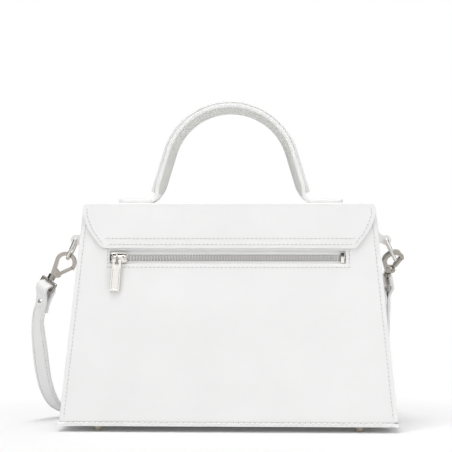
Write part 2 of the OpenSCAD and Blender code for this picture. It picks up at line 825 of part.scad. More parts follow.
back_panel();
front_panel();
base_panel();
gusset(-1);  // left_gusset
gusset(1);  // right_gusset
lining();
inner_pocket();
base_board();
feet();
foot_washers();
flap_back();
flap_top();
flap_top_lining();
flap_front();
flap_front_lining();
flap_magnet();
panel_magnet();
handle_strap();
handle_core();
handle_cover();
zip_tape(1);  // zip_tape_upper
zip_tape(-1);  // zip_tape_lower
zip_teeth(1);  // zip_teeth_upper
zip_teeth(-1);  // zip_teeth_lower
zip_stops();
zip_pocket();
zip_slider();
zip_link();
zip_pull();
ring_loop(-1);  // left_ring_loop
ring_loop(1);  // right_ring_loop
ring(-1);  // left_ring
ring(1);  // right_ring
hook(-1);  // left_hook
hook(1);  // right_hook
gate(-1);  // left_gate
gate(1);  // right_gate
gate_pin(-1);  // left_gate_pin
gate_pin(1);  // right_gate_pin
swivel(-1);  // left_swivel
swivel(1);  // right_swivel
strap_end(-1);  // left_strap_end
strap_end(1);  // right_strap_end
strap_rivets();
shoulder_strap();
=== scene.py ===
"""Looks of a white leather trapeze bag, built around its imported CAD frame.

Lengths are in millimetres until a mesh is made; meshes are in metres. The back of the bag faces -Y.
"""

import math

import bmesh
import bpy
from mathutils import Matrix, Vector


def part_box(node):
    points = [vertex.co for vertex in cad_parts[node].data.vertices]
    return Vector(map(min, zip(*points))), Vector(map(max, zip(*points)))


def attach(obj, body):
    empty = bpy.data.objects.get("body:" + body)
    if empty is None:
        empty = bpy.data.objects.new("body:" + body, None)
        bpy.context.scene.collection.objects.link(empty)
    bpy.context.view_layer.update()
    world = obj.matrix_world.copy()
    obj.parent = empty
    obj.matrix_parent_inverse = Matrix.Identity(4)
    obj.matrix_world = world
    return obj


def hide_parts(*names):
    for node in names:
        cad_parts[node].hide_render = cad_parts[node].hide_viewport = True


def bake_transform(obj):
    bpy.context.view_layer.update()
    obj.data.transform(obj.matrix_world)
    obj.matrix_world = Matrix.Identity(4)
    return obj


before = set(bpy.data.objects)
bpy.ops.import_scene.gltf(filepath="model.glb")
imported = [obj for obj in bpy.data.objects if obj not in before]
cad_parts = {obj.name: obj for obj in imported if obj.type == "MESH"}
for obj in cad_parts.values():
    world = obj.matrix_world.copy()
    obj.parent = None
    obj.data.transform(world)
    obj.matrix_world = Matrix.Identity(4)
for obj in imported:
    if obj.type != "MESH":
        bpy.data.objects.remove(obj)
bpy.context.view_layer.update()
MM = 0.001


def deg(angle):
    return math.radians(angle)


def polar(angle, r=1.0):
    """Point of a circle round the origin, at an angle in degrees."""
    return r * math.cos(deg(angle)), r * math.sin(deg(angle))


def smoothstep(a, b, x):
    t = min(1.0, max(0.0, (x - a) / (b - a)))
    return t * t * (3 - 2 * t)


def hump(z, low, full, fade, top):
    """Rises between low and full, and falls again between fade and top."""
    return smoothstep(low, full, z) * (1 - smoothstep(fade, top, z))


def node_box(name):
    """Lowest and highest corner of a CAD node in millimetres."""
    low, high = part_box(name)
    return [c / MM for c in low], [c / MM for c in high]


def add_object(name, data):
    obj = bpy.data.objects.new(name, data)
    bpy.context.scene.collection.objects.link(obj)
    return obj


# ---- sizes from the frame
BASE_LOW, BASE_HIGH = node_box("base_panel")
BASE_HALF_W, BASE_HALF_D, BASE_TOP = BASE_HIGH
BODY_TOP = node_box("back_panel")[1][2]
BODY_H = BODY_TOP - BASE_TOP
FLAP_T = 1.6
FLAP_ALL = 2.4
TOP_HALF_D = -node_box("flap_top")[0][1] - FLAP_ALL
TOP_HALF_W = 117.7
PANEL_T = 2.2
GUSSET_IN = 0.6
GUSSET_TOP = node_box("left_gusset")[1][2]
LEAN = math.atan((BASE_HALF_D - TOP_HALF_D) / BODY_H)
ZIP_Z = 138.6
ZIP_X = -1.0
WINDOW_HALF = 94.8
WINDOW_H = 10.4
WINDOW_RISE = 0.4


def half_w(z):
    return BASE_HALF_W - (BASE_HALF_W - TOP_HALF_W) * (z - BASE_TOP) / BODY_H


def half_d(z):
    return BASE_HALF_D - (BASE_HALF_D - TOP_HALF_D) * (z - BASE_TOP) / BODY_H


# ---- camera, as the photograph saw the bag
CAMERA_BACK = 1500
CAMERA_Z = 164
CAMERA_TURN = 2.5
SENSOR = 36
VIEW_WIDTH = 361.6
FACE_Y = -45
AIM_SHIFT = -1.9
camera = add_object("camera", bpy.data.cameras.new("camera"))
camera.data.sensor_width = SENSOR
camera.data.lens = SENSOR * CAMERA_BACK / VIEW_WIDTH
camera.data.clip_start = 0.05
camera.data.clip_end = 20
right = Vector((*polar(CAMERA_TURN), 0))
back = Vector((right.y, -right.x, 0))
camera.location = (Vector((0, FACE_Y, CAMERA_Z)) + right * AIM_SHIFT + back * CAMERA_BACK) * MM
camera.rotation_euler = (deg(90), 0, deg(CAMERA_TURN))
bpy.context.scene.camera = camera


# ---- node helpers
def fill(tree, node, inputs):
    """Gives a node's inputs their values, or links them to another node's output."""
    for key, value in inputs.items():
        if isinstance(value, bpy.types.NodeSocket):
            tree.links.new(value, node.inputs[key])
        else:
            node.inputs[key].default_value = value


def add_node(tree, kind, inputs=None, **props):
    made = tree.nodes.new(kind)
    for key, value in props.items():
        setattr(made, key, value)
    fill(tree, made, inputs or {})
    return made


class Nodes:
    """Short way to write a procedural material."""

    def __init__(self, name, color, rough, metal=0.0):
        self.mat = bpy.data.materials.new(name)
        self.mat.use_nodes = True
        self.tree = self.mat.node_tree
        self.bsdf = self.tree.nodes["Principled BSDF"]
        self.set({"Base Color": (*color, 1), "Roughness": rough, "Metallic": metal})
        self.mat.diffuse_color = (*color, 1)
        self.coord = self.node("ShaderNodeTexCoord").outputs["Object"]

    def set(self, inputs):
        fill(self.tree, self.bsdf, inputs)

    def node(self, kind, inputs=None, **props):
        return add_node(self.tree, kind, inputs, **props)

    def noise(self, scale, detail=2.0, rough=0.5, distortion=0.0):
        return self.node("ShaderNodeTexNoise", {"Vector": self.coord, "Scale": scale, "Detail": detail,
                                                "Roughness": rough, "Distortion": distortion}).outputs["Fac"]

    def wave(self, scale, distortion, direction):
        return self.node("ShaderNodeTexWave", {"Vector": self.coord, "Scale": scale, "Distortion": distortion},
                         bands_direction=direction).outputs["Fac"]

    def ramp(self, fac, low, high, at0=0.0, at1=1.0):
        return self.node("ShaderNodeMapRange", {"Value": fac, "From Min": at0, "From Max": at1, "To Min": low,
                                                "To Max": high}).outputs["Result"]

    def math(self, op, a, b):
        return self.node("ShaderNodeMath", {0: a, 1: b}, operation=op).outputs[0]

    def tone(self, fac, share, tint):
        """Base colour between a share of the tint and the tint itself."""
        mix = self.node("ShaderNodeMix", {"Factor": fac, "A": (*(c * share for c in tint), 1), "B": (*tint, 1)},
                        data_type="RGBA")
        self.set({"Base Color": mix.outputs["Result"]})

    def bump(self, height, distance, strength):
        made = self.node("ShaderNodeBump", {"Height": height, "Distance": distance, "Strength": strength})
        self.set({"Normal": made.outputs["Normal"]})


GRAIN = 1500.0
GRAIN_DEPTH = 0.00006


def leather_material(name, tint, rough=0.42, grained=True):
    """Smooth calf leather: fine closed grain, faint cloudy tone, a soft sheen where it catches light."""
    n = Nodes(name, tint, rough)
    if grained:
        cells = n.node("ShaderNodeTexVoronoi", {"Vector": n.coord, "Scale": GRAIN}, feature="DISTANCE_TO_EDGE")
        cell = n.ramp(cells.outputs["Distance"], 0.0, 1.0, 0.0, 0.28)
        pores = n.noise(GRAIN * 1.9, 3.0, 0.6)
        height = n.math("ADD", n.math("MULTIPLY", cell, 0.6), n.math("MULTIPLY", pores, 0.5))
        n.bump(n.math("ADD", height, n.math("MULTIPLY", n.noise(90.0, 3.0), 1.1)), GRAIN_DEPTH, 0.55)
    n.tone(n.ramp(n.noise(16.0, 4.0, 0.6), 0.0, 1.0, 0.35, 0.7), 0.965, tint)
    n.set({"Roughness": n.ramp(n.noise(140.0, 3.0), rough - 0.05, rough + 0.08), "Specular IOR Level": 0.42})
    return n.mat


def edge_material(name, tint):
    """Painted cut edge of leather."""
    n = Nodes(name, tint, 0.36)
    n.bump(n.noise(1300.0, 4.0), 0.00008, 0.5)
    n.tone(n.noise(260.0), 0.93, tint)
    return n.mat


def thread_material(name, tint):
    """Waxed thread with its twist."""
    n = Nodes(name, tint, 0.55)
    n.bump(n.wave(2400.0, 1.0, "DIAGONAL"), 0.00007, 0.6)
    n.tone(n.noise(900.0), 0.9, tint)
    n.set({"Sheen Weight": 0.15})
    return n.mat


def cloth_material(name, tint, thread=2600.0, depth=0.00008):
    """Plain weave: two crossed waves for warp and weft."""
    n = Nodes(name, tint, 0.85)
    weave = n.math("MAXIMUM", n.wave(thread, 0.4, "X"), n.wave(thread, 0.4, "Z"))
    n.bump(weave, depth, 0.7)
    n.tone(n.ramp(weave, 0.0, 1.0, 0.2, 0.9), 0.86, tint)
    n.set({"Sheen Weight": 0.25, "Sheen Roughness": 0.5})
    return n.mat


def metal_material(name, tint, rough):
    """Nickel with faint rubbing and a slightly duller tone in places."""
    n = Nodes(name, tint, rough, 1.0)
    scratch = n.noise(420.0, 6.0, 0.7, 1.2)
    n.set({"Roughness": n.ramp(scratch, rough * 0.7, rough * 1.7, 0.3, 0.75)})
    n.tone(n.noise(60.0, 3.0), 0.93, tint)
    n.bump(scratch, 0.000012, 0.35)
    return n.mat


def board_material(name, tint):
    n = Nodes(name, tint, 0.8)
    fibre = n.noise(700.0, 6.0, 0.7)
    n.bump(fibre, 0.0001, 0.5)
    n.tone(fibre, 0.8, tint)
    return n.mat


LEATHER = leather_material("white leather", (0.885, 0.885, 0.882))
# A lighter copy of the white leather, so that the base strip, which gets little light, still shows bright: painted
# light.
BASE_LEATHER_LIT = leather_material("white leather base painted light", (0.93, 0.93, 0.925))
# The handle's inner face, turned down and in, gets a grey copy of the white leather: painted shade.
HANDLE_INSIDE_SHADE = leather_material("handle inside painted shade", (0.69, 0.688, 0.665), 0.5, False)
HANDLE_LEATHER = leather_material("white handle leather", (0.87, 0.87, 0.86), 0.4, False)
EDGE = edge_material("painted edge", (0.8, 0.8, 0.785))
EDGE_WHITE = edge_material("white edge", (0.9, 0.9, 0.89))
THREAD = thread_material("white thread", (0.88, 0.88, 0.87))
# Grey discs at the needle holes: painted shade for the holes' hollows.
HOLE = edge_material("needle hole painted shade", (0.55, 0.55, 0.54))
LINING = cloth_material("lining cloth", (0.66, 0.64, 0.6))
# Lighter than the leather so that the tape in the recessed window shows bright: painted light.
TAPE = cloth_material("zip tape cloth painted light", (0.97, 0.97, 0.965), 3400.0, 0.00004)
NICKEL = metal_material("polished nickel", (0.8, 0.775, 0.74), 0.13)
NICKEL_SOFT = metal_material("satin nickel", (0.84, 0.82, 0.79), 0.2)
HOOK_METAL = metal_material("dark nickel", (0.4, 0.375, 0.34), 0.13)
FOOT_METAL = metal_material("champagne nickel", (0.6, 0.55, 0.46), 0.2)
# A pale copy of the nickel for the teeth's outward faces, painted light, and a near-black copy for their sides, painted
# shade.
TOOTH_CAP_LIT = metal_material("tooth caps painted light", (0.95, 0.94, 0.92), 0.34)
TOOTH_WALL_SHADE = metal_material("tooth walls painted shade", (0.2, 0.185, 0.16), 0.5)
BOARD = board_material("fibre board", (0.5, 0.44, 0.34))


# ---- mesh helpers
def mesh_object(name, verts, faces, materials, indices=None):
    """Mesh from millimetre points; indices picks a material for each face."""
    mesh = bpy.data.meshes.new(name)
    mesh.from_pydata([(v[0] * MM, v[1] * MM, v[2] * MM) for v in verts], [], faces)
    for mat in materials:
        mesh.materials.append(mat)
    if indices:
        mesh.polygons.foreach_set("material_index", indices)
    mesh.polygons.foreach_set("use_smooth", [True] * len(mesh.polygons))
    mesh.validate()
    mesh.update()
    return add_object(name, mesh)


def settle(obj, body, slot, *nodes):
    """A piece's body and the CAD nodes that it stands for, which are hidden; slot is not used."""
    if nodes:
        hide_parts(*nodes)
    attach(obj, body)
    return obj


def modifier(obj, kind, **props):
    mod = obj.modifiers.new(kind.lower(), kind)
    for key, value in props.items():
        setattr(mod, key, value)
    return mod


def apply_modifiers(obj):
    graph = bpy.context.evaluated_depsgraph_get()
    mesh = bpy.data.meshes.new_from_object(obj.evaluated_get(graph), depsgraph=graph)
    old = obj.data
    obj.modifiers.clear()
    obj.data = mesh
    bpy.data.meshes.remove(old)


def bevel(obj, width, segments=2, angle=35):
    modifier(obj, "BEVEL", width=width * MM, segments=segments, limit_method="ANGLE", angle_limit=deg(angle))


def thicken(obj, thickness, offset=-1.0):
    """Gives a sheet its thickness; its second material goes on the cut edge."""
    modifier(obj, "SOLIDIFY", thickness=thickness * MM, offset=offset, use_even_offset=False, material_offset_rim=1)
    apply_modifiers(obj)


def sharpen(obj, angle):
    """Smooth shading that stays crisp at real edges."""
    mesh = obj.data
    mesh.polygons.foreach_set("use_smooth", [True] * len(mesh.polygons))
    work = bmesh.new()
    work.from_mesh(mesh)
    for edge in work.edges:
        edge.smooth = not (len(edge.link_faces) == 2 and edge.calc_face_angle() > deg(angle))
    work.to_mesh(mesh)
    work.free()


def grid_faces(rows, cols, closed=False, skip=None, flip=False):
    """Faces of a grid of rows x cols points, row by row; skip(row, col) leaves a face out."""
    faces = []
    for r in range(rows - 1):
        for c in range(cols if closed else cols - 1):
            if skip and skip(r, c):
                continue
            d = (c + 1) % cols
            face = (r * cols + c, r * cols + d, (r + 1) * cols + d, (r + 1) * cols + c)
            faces.append(face[::-1] if flip else face)
    return faces


def tube_faces(rows, cols, flip=False):
    """Faces of a closed tube, then the faces of its two ends."""
    first, last = list(range(cols)), [(rows - 1) * cols + i for i in range(cols)]
    ends = [first, last[::-1]] if flip else [first[::-1], last]
    return grid_faces(rows, cols, closed=True, flip=flip) + ends


def add_part(verts, faces, part_verts, part_faces):
    """Adds one small part to the points and faces of a mesh."""
    start = len(verts)
    verts += part_verts
    faces += [[start + i for i in face] for face in part_faces]


def spread(a, b, count):
    return [a + (b - a) * i / (count - 1) for i in range(count)]


def steps(marks, size):
    """Values through all the marks, with stretches no longer than size between them."""
    out = [marks[0]]
    for a, b in zip(marks, marks[1:]):
        count = max(1, math.ceil(abs(b - a) / size))
        out += [a + (b - a) * i / count for i in range(1, count + 1)]
    return out


def way_at(points, i):
    """Direction of a line of points at one of them."""
    return (points[min(i + 1, len(points) - 1)] - points[max(i - 1, 0)]).normalized()


def resample(points, pitch):
    """Points along a polyline at about one pitch, with the direction there."""
    pts = [Vector(p) for p in points]
    lengths = [(b - a).length for a, b in zip(pts, pts[1:])]
    total = sum(lengths)
    count = max(1, round(total / pitch))
    out = []
    walked, i = 0.0, 0
    for k in range(count):
        at = (k + 0.5) * total / count
        while i < len(lengths) - 1 and walked + lengths[i] < at:
            walked += lengths[i]
            i += 1
        way = (pts[i + 1] - pts[i]).normalized()
        out.append((pts[i] + way * (at - walked), way))
    return out


STITCH_PITCH = 3.4
STITCH_L = 2.5
STITCH_R = 0.3
STITCH_SIDES = 6
STITCH_RINGS = 7
HOLE_R = 0.42


def stitch_row(points, out_of, verts, faces, holes, pitch=STITCH_PITCH, length=STITCH_L, r=STITCH_R, slant=0.0):
    """Adds a row of stitches along points; out_of(point) is the surface's outward direction there.

    Each stitch is a short thread that arches out of one hole and into the next; each hole is a grey disc laid on the
    surface, painted shade for the hole's hollow, and holes collects these discs' faces.
    """
    turns = [polar(360 * k / STITCH_SIDES) for k in range(STITCH_SIDES)]
    for at, way in resample(points, pitch):
        n = Vector(out_of(at)).normalized()
        w = (way - n * way.dot(n)).normalized()
        w = (w + n.cross(w) * slant).normalized()
        s = n.cross(w)
        hole = [at + w * (pitch / 2 + HOLE_R * 1.25 * c) + s * (HOLE_R * d) + n * 0.05 for c, d in turns]
        holes.append(len(faces))
        add_part(verts, faces, hole, [range(STITCH_SIDES)])
        thread = []
        for t in spread(-1, 1, STITCH_RINGS):
            high = r * (0.75 - 1.5 * t ** 4) + 0.02
            wide = r * (1 - 0.45 * t ** 6)
            thread += [at + w * (t * length / 2) + s * (wide * c) + n * (high + wide * 0.8 * d) for c, d in turns]
        add_part(verts, faces, thread, tube_faces(STITCH_RINGS, STITCH_SIDES))


def stitches(name, rows, body, slot="leather_white", **sizes):
    """One object of several stitch rows, each (points, outward direction or function)."""
    verts, faces, holes = [], [], []
    for points, out_of in rows:
        way = out_of if callable(out_of) else (lambda at, out=out_of: out)
        stitch_row(points, way, verts, faces, holes, **sizes)
    obj = mesh_object(name, verts, faces, [THREAD, HOLE])
    # The holes' discs take the grey material: painted shade.
    for i in holes:
        obj.data.polygons[i].material_index = 1
    return settle(obj, body, slot)


def legs(corners, out):
    """Straight stitch rows from corner to corner."""
    return [([a, b], out) for a, b in zip(corners, corners[1:])]


# ---- body shell
BULGE = 1.3
FRONT_SHARE = 0.3
RIPPLE = 0.22
SWELL_Z = (12, 45, 88, 124)
GUSSET_SAG = 1.6
SAG_Z = (20, 60, 110, 146)
BACK_OUT = Vector((0, -math.cos(LEAN), math.sin(LEAN)))
FRONT_OUT = Vector((0, math.cos(LEAN), math.sin(LEAN)))
UP = Vector((0, 0, 1))


def swell(x, z):
    """How much of a panel's swell shows: none near the base, above the zip and at the sides."""
    return BULGE * hump(z, *SWELL_Z) * max(0.0, 1 - (x / half_w(z)) ** 2)


def back_face(x, z):
    """Point on the back panel's outer face."""
    ripple = RIPPLE * math.sin(x / 31) * math.sin(z / 23) * hump(z, *SWELL_Z)
    return (x, -half_d(z) - swell(x, z) - ripple, z)


def front_face(x, z):
    return (x, half_d(z) + FRONT_SHARE * swell(x, z), z)


def gusset_face(side, y, z):
    flat = max(0.0, 1 - (y / (half_d(z) - PANEL_T)) ** 2)
    return (side * (half_w(z) - GUSSET_IN - GUSSET_SAG * flat * hump(z, *SAG_Z)), y, z)


WINDOW_LOW = ZIP_Z - WINDOW_H / 2 + WINDOW_RISE
WINDOW_HIGH = ZIP_Z + WINDOW_H / 2 + WINDOW_RISE
WINDOW_X = (ZIP_X - WINDOW_HALF, ZIP_X + WINDOW_HALF)
GRID = 5
PANEL_ROWS = steps([BASE_TOP, 12, WINDOW_LOW, WINDOW_HIGH, BODY_TOP], GRID)
PANEL_COLS = steps([-BASE_HALF_W, -BASE_HALF_W + 2, *WINDOW_X, BASE_HALF_W - 2, BASE_HALF_W], GRID)


def panel_x(u, z):
    """Columns stay upright over the window and lean to the panel's slanted sides beyond it."""
    inner = WINDOW_HALF + 4
    if abs(u) <= inner:
        return u
    share = (abs(u) - inner) / (BASE_HALF_W - inner)
    return math.copysign(inner + share * (half_w(z) - inner), u)


def in_window(r, c):
    z = (PANEL_ROWS[r] + PANEL_ROWS[r + 1]) / 2
    x = (PANEL_COLS[c] + PANEL_COLS[c + 1]) / 2
    return WINDOW_LOW < z < WINDOW_HIGH and WINDOW_X[0] < x < WINDOW_X[1]


def make_sheet(name, verts, faces, thickness, rounding, node):
    """A thick leather sheet of the body with rounded painted edges."""
    obj = mesh_object(name, verts, faces, [LEATHER, EDGE_WHITE])
    thicken(obj, thickness)
    bevel(obj, *rounding, 50)
    settle(obj, "bag", "leather_white", node)


for name, node, face, skip in (("back_leather", "back_panel", back_face, in_window),
                               ("front_leather", "front_panel", front_face, None)):
    points = [face(panel_x(u, z), z) for z in PANEL_ROWS for u in PANEL_COLS]
    grid = grid_faces(len(PANEL_ROWS), len(PANEL_COLS), skip=skip, flip=face is front_face)
    make_sheet(name, points, grid, PANEL_T, (0.45, 3), node)

# The gussets are drawn in a little along their middle
GUSSET_ROWS = steps([BASE_TOP, GUSSET_TOP], GRID)
GUSSET_COLS = 25
for side, name in ((-1, "left_gusset"), (1, "right_gusset")):
    points = []
    for z in GUSSET_ROWS:
        reach = half_d(z) - PANEL_T
        points += [gusset_face(side, y, z) for y in spread(-reach, reach, GUSSET_COLS)]
    grid = grid_faces(len(GUSSET_ROWS), GUSSET_COLS, flip=side < 0)
    make_sheet(name + "_leather", points, grid, PANEL_T - 0.1, (0.4, 2), name)

# Stitch rows down both sides of each panel, and round the zip's window
STITCH_IN = 3.6
SIDE_ROWS = spread(BASE_TOP + 3, BODY_TOP - 2, 60)
stitches("panel_side_stitches", [
    ([face(side * (half_w(z) - STITCH_IN), z) for z in SIDE_ROWS], out)
    for face, out in ((back_face, BACK_OUT), (front_face, FRONT_OUT)) for side in (-1, 1)
], "bag")

BOX_GAP = 2.9
BOX_X = (WINDOW_X[0] - 1.6, WINDOW_X[1] + BOX_GAP)
BOX_Z = (WINDOW_LOW - BOX_GAP, WINDOW_HIGH + BOX_GAP)
BOX = [back_face(BOX_X[i], BOX_Z[k]) for i, k in ((0, 0), (1, 0), (1, 1), (0, 1), (0, 0))]
stitches("zip_window_stitches", legs(BOX, BACK_OUT), "bag")


# ---- base with its edge strip and overcast stitches
OVERCAST = 4.4
THREAD_PULL = 0.22


def make_base():
    """Base leather: a slab whose edge strip is gently wavy where the thread pulls it in."""
    z0, z1 = BASE_LOW[2], BASE_TOP
    w, d = BASE_HALF_W + 0.8, BASE_HALF_D + 0.7
    profile = [(0.0, z0), (-0.25, z0 + 0.5), (0.0, z0 + 1.2), (-0.1, z1 - 0.9), (-0.9, z1 - 0.25), (-1.5, z1 - 0.1)]
    corners = [Vector((-w, -d)), Vector((w, -d)), Vector((w, d)), Vector((-w, d))]
    ring = []
    for a, b in zip(corners, corners[1:] + corners[:1]):
        length = (b - a).length
        way = (b - a) / length
        waves = round(length / OVERCAST)
        for t in (i / (waves * 6) for i in range(waves * 6)):
            dip = -THREAD_PULL * (0.5 - 0.5 * math.cos(2 * math.pi * t * waves))
            dip *= smoothstep(0, 6, min(t, 1 - t) * length)
            ring.append((a + (b - a) * t, Vector((way.y, -way.x)), dip))
    verts = [(*(at + out * (inset + dip)), z) for inset, z in profile for at, out, dip in ring]
    count = len(ring)
    faces = grid_faces(len(profile), count, closed=True)
    low = len(verts)
    verts += [(0, 0, z0), (0, 0, z1 - 0.1)]
    last = (len(profile) - 1) * count
    for i in range(count):
        j = (i + 1) % count
        faces += [(low, j, i), (low + 1, last + i, last + j)]
    # The base takes the lighter copy of the leather: painted light.
    obj = mesh_object("base_leather", verts, faces, [BASE_LEATHER_LIT])
    sharpen(obj, 55)
    settle(obj, "bag", "leather_white", "base_panel")
    rows = []
    row_z = z1 - 1.1
    for side in (-1, 1):
        rows.append(([(-w + 4, side * d, row_z), (w - 4, side * d, row_z)], Vector((0, side, 0.35))))
        rows.append(([(side * w, -d + 4, row_z), (side * w, d - 4, row_z)], Vector((side, 0, 0.35))))
    stitches("base_overcast", rows, "bag", pitch=OVERCAST, length=2.6, r=0.28, slant=0.35)


make_base()


# ---- flap: one leather sheet over both folds
FLAP_BACK_Z = 146.2
FLAP_BACK_HALF = 102
FLAP_FRONT_Z = 110
FLAP_FRONT_HALF = 84
FLAP_HALF = 118
FLAP_GAP = 0.4
FOLD_R = FLAP_ALL / 2
FOLD_Z = BODY_TOP + 0.2 + FOLD_R
TOP_FACE = FOLD_Z + FOLD_R
BACK_FOLD = -TOP_HALF_D - FOLD_R
FRONT_FOLD = TOP_HALF_D + FLAP_GAP + FOLD_R
EDGE_STEPS = (0, 0.5, 1.2, 2.2)
TOP_CROWN = 0.18
FLAP_COLS = 61


def flap_ends(low_half, low_z):
    """Half outline of a flap end: the slanted corner, then the rounded shoulder, as the CAD has it."""
    slant_z = low_z + 0.4 * (174 - low_z)
    return [(low_half - 1.2, low_z), (low_half + 0.2, low_z + 0.5), (low_half + 1.4, low_z + 1.7),
            (FLAP_HALF - 6.4, slant_z + 1.2), (FLAP_HALF - 4.6, slant_z + 4.5),
            (FLAP_HALF - 1.6, 169), (FLAP_HALF - 0.5, 172), (FLAP_HALF, 175), (FLAP_HALF - 0.3, 177.5),
            (FLAP_HALF - 1.2, 180), (FLAP_HALF - 2, 182.6)]


def half_at(ends, z):
    """Half length of the flap at a height."""
    for (x0, z0), (x1, z1) in zip(ends, ends[1:]):
        if z <= z1:
            return x0 + (x1 - x0) * max(0.0, (z - z0) / (z1 - z0))
    return ends[-1][0]


def fold_arc(y, from_angle, to_angle):
    """Outer line round a fold: y, z, outward."""
    ways = [polar(a) for a in spread(from_angle, to_angle, 9)]
    return [(y + FOLD_R * c, FOLD_Z + FOLD_R * s, (c, s)) for c, s in ways]


def flap_profile():
    """Outer line of the flap from its back lower edge over the top to the drop's lower edge: y, z, outward."""
    lean = math.degrees(LEAN)
    back = steps([*(FLAP_BACK_Z + s for s in EDGE_STEPS), FOLD_Z - 1.5], 1.6)
    out = [(-half_d(z) - FLAP_ALL, z, tuple(BACK_OUT.yz)) for z in back]
    out += fold_arc(BACK_FOLD, 180 - lean, 90)
    for y in spread(BACK_FOLD + 2.5, FRONT_FOLD - 2.5, 13):
        crown = TOP_CROWN * math.sin(math.pi * (y - BACK_FOLD) / (FRONT_FOLD - BACK_FOLD))
        out.append((y, TOP_FACE + crown, (0, 1)))
    out += fold_arc(FRONT_FOLD, 90, lean)
    front = steps([FOLD_Z - 1.5, *(FLAP_FRONT_Z + s for s in EDGE_STEPS[::-1])], 1.9)
    return out + [(half_d(z) + FLAP_GAP + FLAP_ALL, z, tuple(FRONT_OUT.yz)) for z in front]


BACK_ENDS = flap_ends(FLAP_BACK_HALF, FLAP_BACK_Z)
FRONT_ENDS = flap_ends(FLAP_FRONT_HALF, FLAP_FRONT_Z)
PROFILE = flap_profile()
MIDDLE = min((i for i, p in enumerate(PROFILE) if p[1] > 180), key=lambda i: abs(PROFILE[i][0]))


def flap_half(y, z):
    if y < BACK_FOLD + 1.5:
        return half_at(BACK_ENDS, z)
    if y > FRONT_FOLD - 1.5:
        return half_at(FRONT_ENDS, z)
    return FLAP_HALF - 2


def wave(x):
    """The lower edge of the sewn part isn't quite straight."""
    return 0.12 * math.sin(x / 23.0) + 0.05 * math.sin(x / 6.1 + 1)


def flap_sheet(name, nodes, lower, lining, material, rim):
    """Half of the flap, from one of its lower edges to the middle of the top, as leather or as its lining."""
    depth, thickness, rounding = (FLAP_T, FLAP_ALL - FLAP_T - 0.05, 0.2) if lining else (0.0, FLAP_T, 0.35)
    part = PROFILE[:MIDDLE + 1] if lower == "back" else PROFILE[MIDDLE:]
    verts = []
    for y, z, (ny, nz) in part:
        rise = 1 - smoothstep(FLAP_BACK_Z, FLAP_BACK_Z + 6, z) if y < 0 else 0.0
        for x in spread(-flap_half(y, z), flap_half(y, z), FLAP_COLS):
            verts.append((x, y - ny * depth, z - nz * depth + wave(x) * rise))
    obj = mesh_object(name, verts, grid_faces(len(part), FLAP_COLS), [material, rim])
    thicken(obj, thickness)
    bevel(obj, rounding, 2, 50)
    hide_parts(*nodes)
    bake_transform(obj)


flap_sheet("flap_rear_leather", ("flap_back", "flap_top"), "back", False, LEATHER, EDGE_WHITE)
flap_sheet("flap_fore_leather", ("flap_front",), "front", False, LEATHER, EDGE_WHITE)
flap_sheet("flap_rear_lining", ("flap_top_lining",), "back", True, LEATHER, EDGE)
flap_sheet("flap_fore_lining", ("flap_front_lining",), "front", True, LINING, EDGE)


def hanging_face(back, x, z):
    """Point on the sewn part's face, or on the drop's."""
    return (x, -half_d(z) - FLAP_ALL if back else half_d(z) + FLAP_GAP + FLAP_ALL, z)


def flap_rows(back, ends, lines):
    """Stitch rows a little inside both slanted ends, and level ones as (half length, height above the edge)."""
    low = ends[0][1]
    rows = []
    for side in (-1, 1):
        inset = [(z, 3.4 + 1.2 * (1 - smoothstep(low, low + 5, z))) for z in spread(low + 2.9, FOLD_Z - 4, 24)]
        rows.append([hanging_face(back, side * (half_at(ends, z) - gap), z) for z, gap in inset])
    rows += [[hanging_face(back, x, low + up) for x in (-half, half)] for half, up in lines]
    return [(row, BACK_OUT if back else FRONT_OUT) for row in rows]


stitches("flap_back_stitches", flap_rows(True, BACK_ENDS, [(98, 3.0), (100.5, 7.8)]), "bag")
stitches("flap_drop_stitches", flap_rows(False, FRONT_ENDS, [(80, 3.4)]), "flap_drop")
stitches("flap_top_stitches", [
    ([(side * (FLAP_HALF - 5.4), y, TOP_FACE + 0.1) for y in (BACK_FOLD + 5, FRONT_FOLD - 5)], UP) for side in (-1, 1)
], "flap")


# ---- handle
ARCH_R = 57.0
ARCH_Z = node_box("handle_cover")[1][2] - ARCH_R
LEG_LEAN = 17
HANDLE_W = 19.0
STRAP_T = 3.4
DOME_H = 4.2
MARGIN_T = 1.1
MARGIN_W = 2.4
TAB_END = 92.0
COVER_END = 192.0
CONE = 5.2
BEND_R = 7.0
LEG_X, LEG_Z = polar(LEG_LEAN)[::-1]


def handle_line(cut_z, r):
    """Line at a distance r from the arch's middle, as (x, z, outward x, outward z), from cut to cut."""
    leg = (ARCH_Z + ARCH_R * LEG_X - cut_z) / LEG_Z
    right = [(s * LEG_X, -s * LEG_Z, LEG_Z, LEG_X) for s in spread(0, leg, 14)[1:]]
    arch = [(0.0, 0.0, *polar(a)) for a in spread(180 - LEG_LEAN, LEG_LEAN, 49)]
    left = [(-x, z, -nx, nz) for x, z, nx, nz in right[::-1]]
    return [(x + nx * r, ARCH_Z + z + nz * r, nx, nz) for x, z, nx, nz in left + arch + right]


def cone_in(y, z):
    """The band is wound on a slight cone: its far edge lies nearer the arch's middle."""
    return CONE * y / HANDLE_W * smoothstep(184, 197, z)


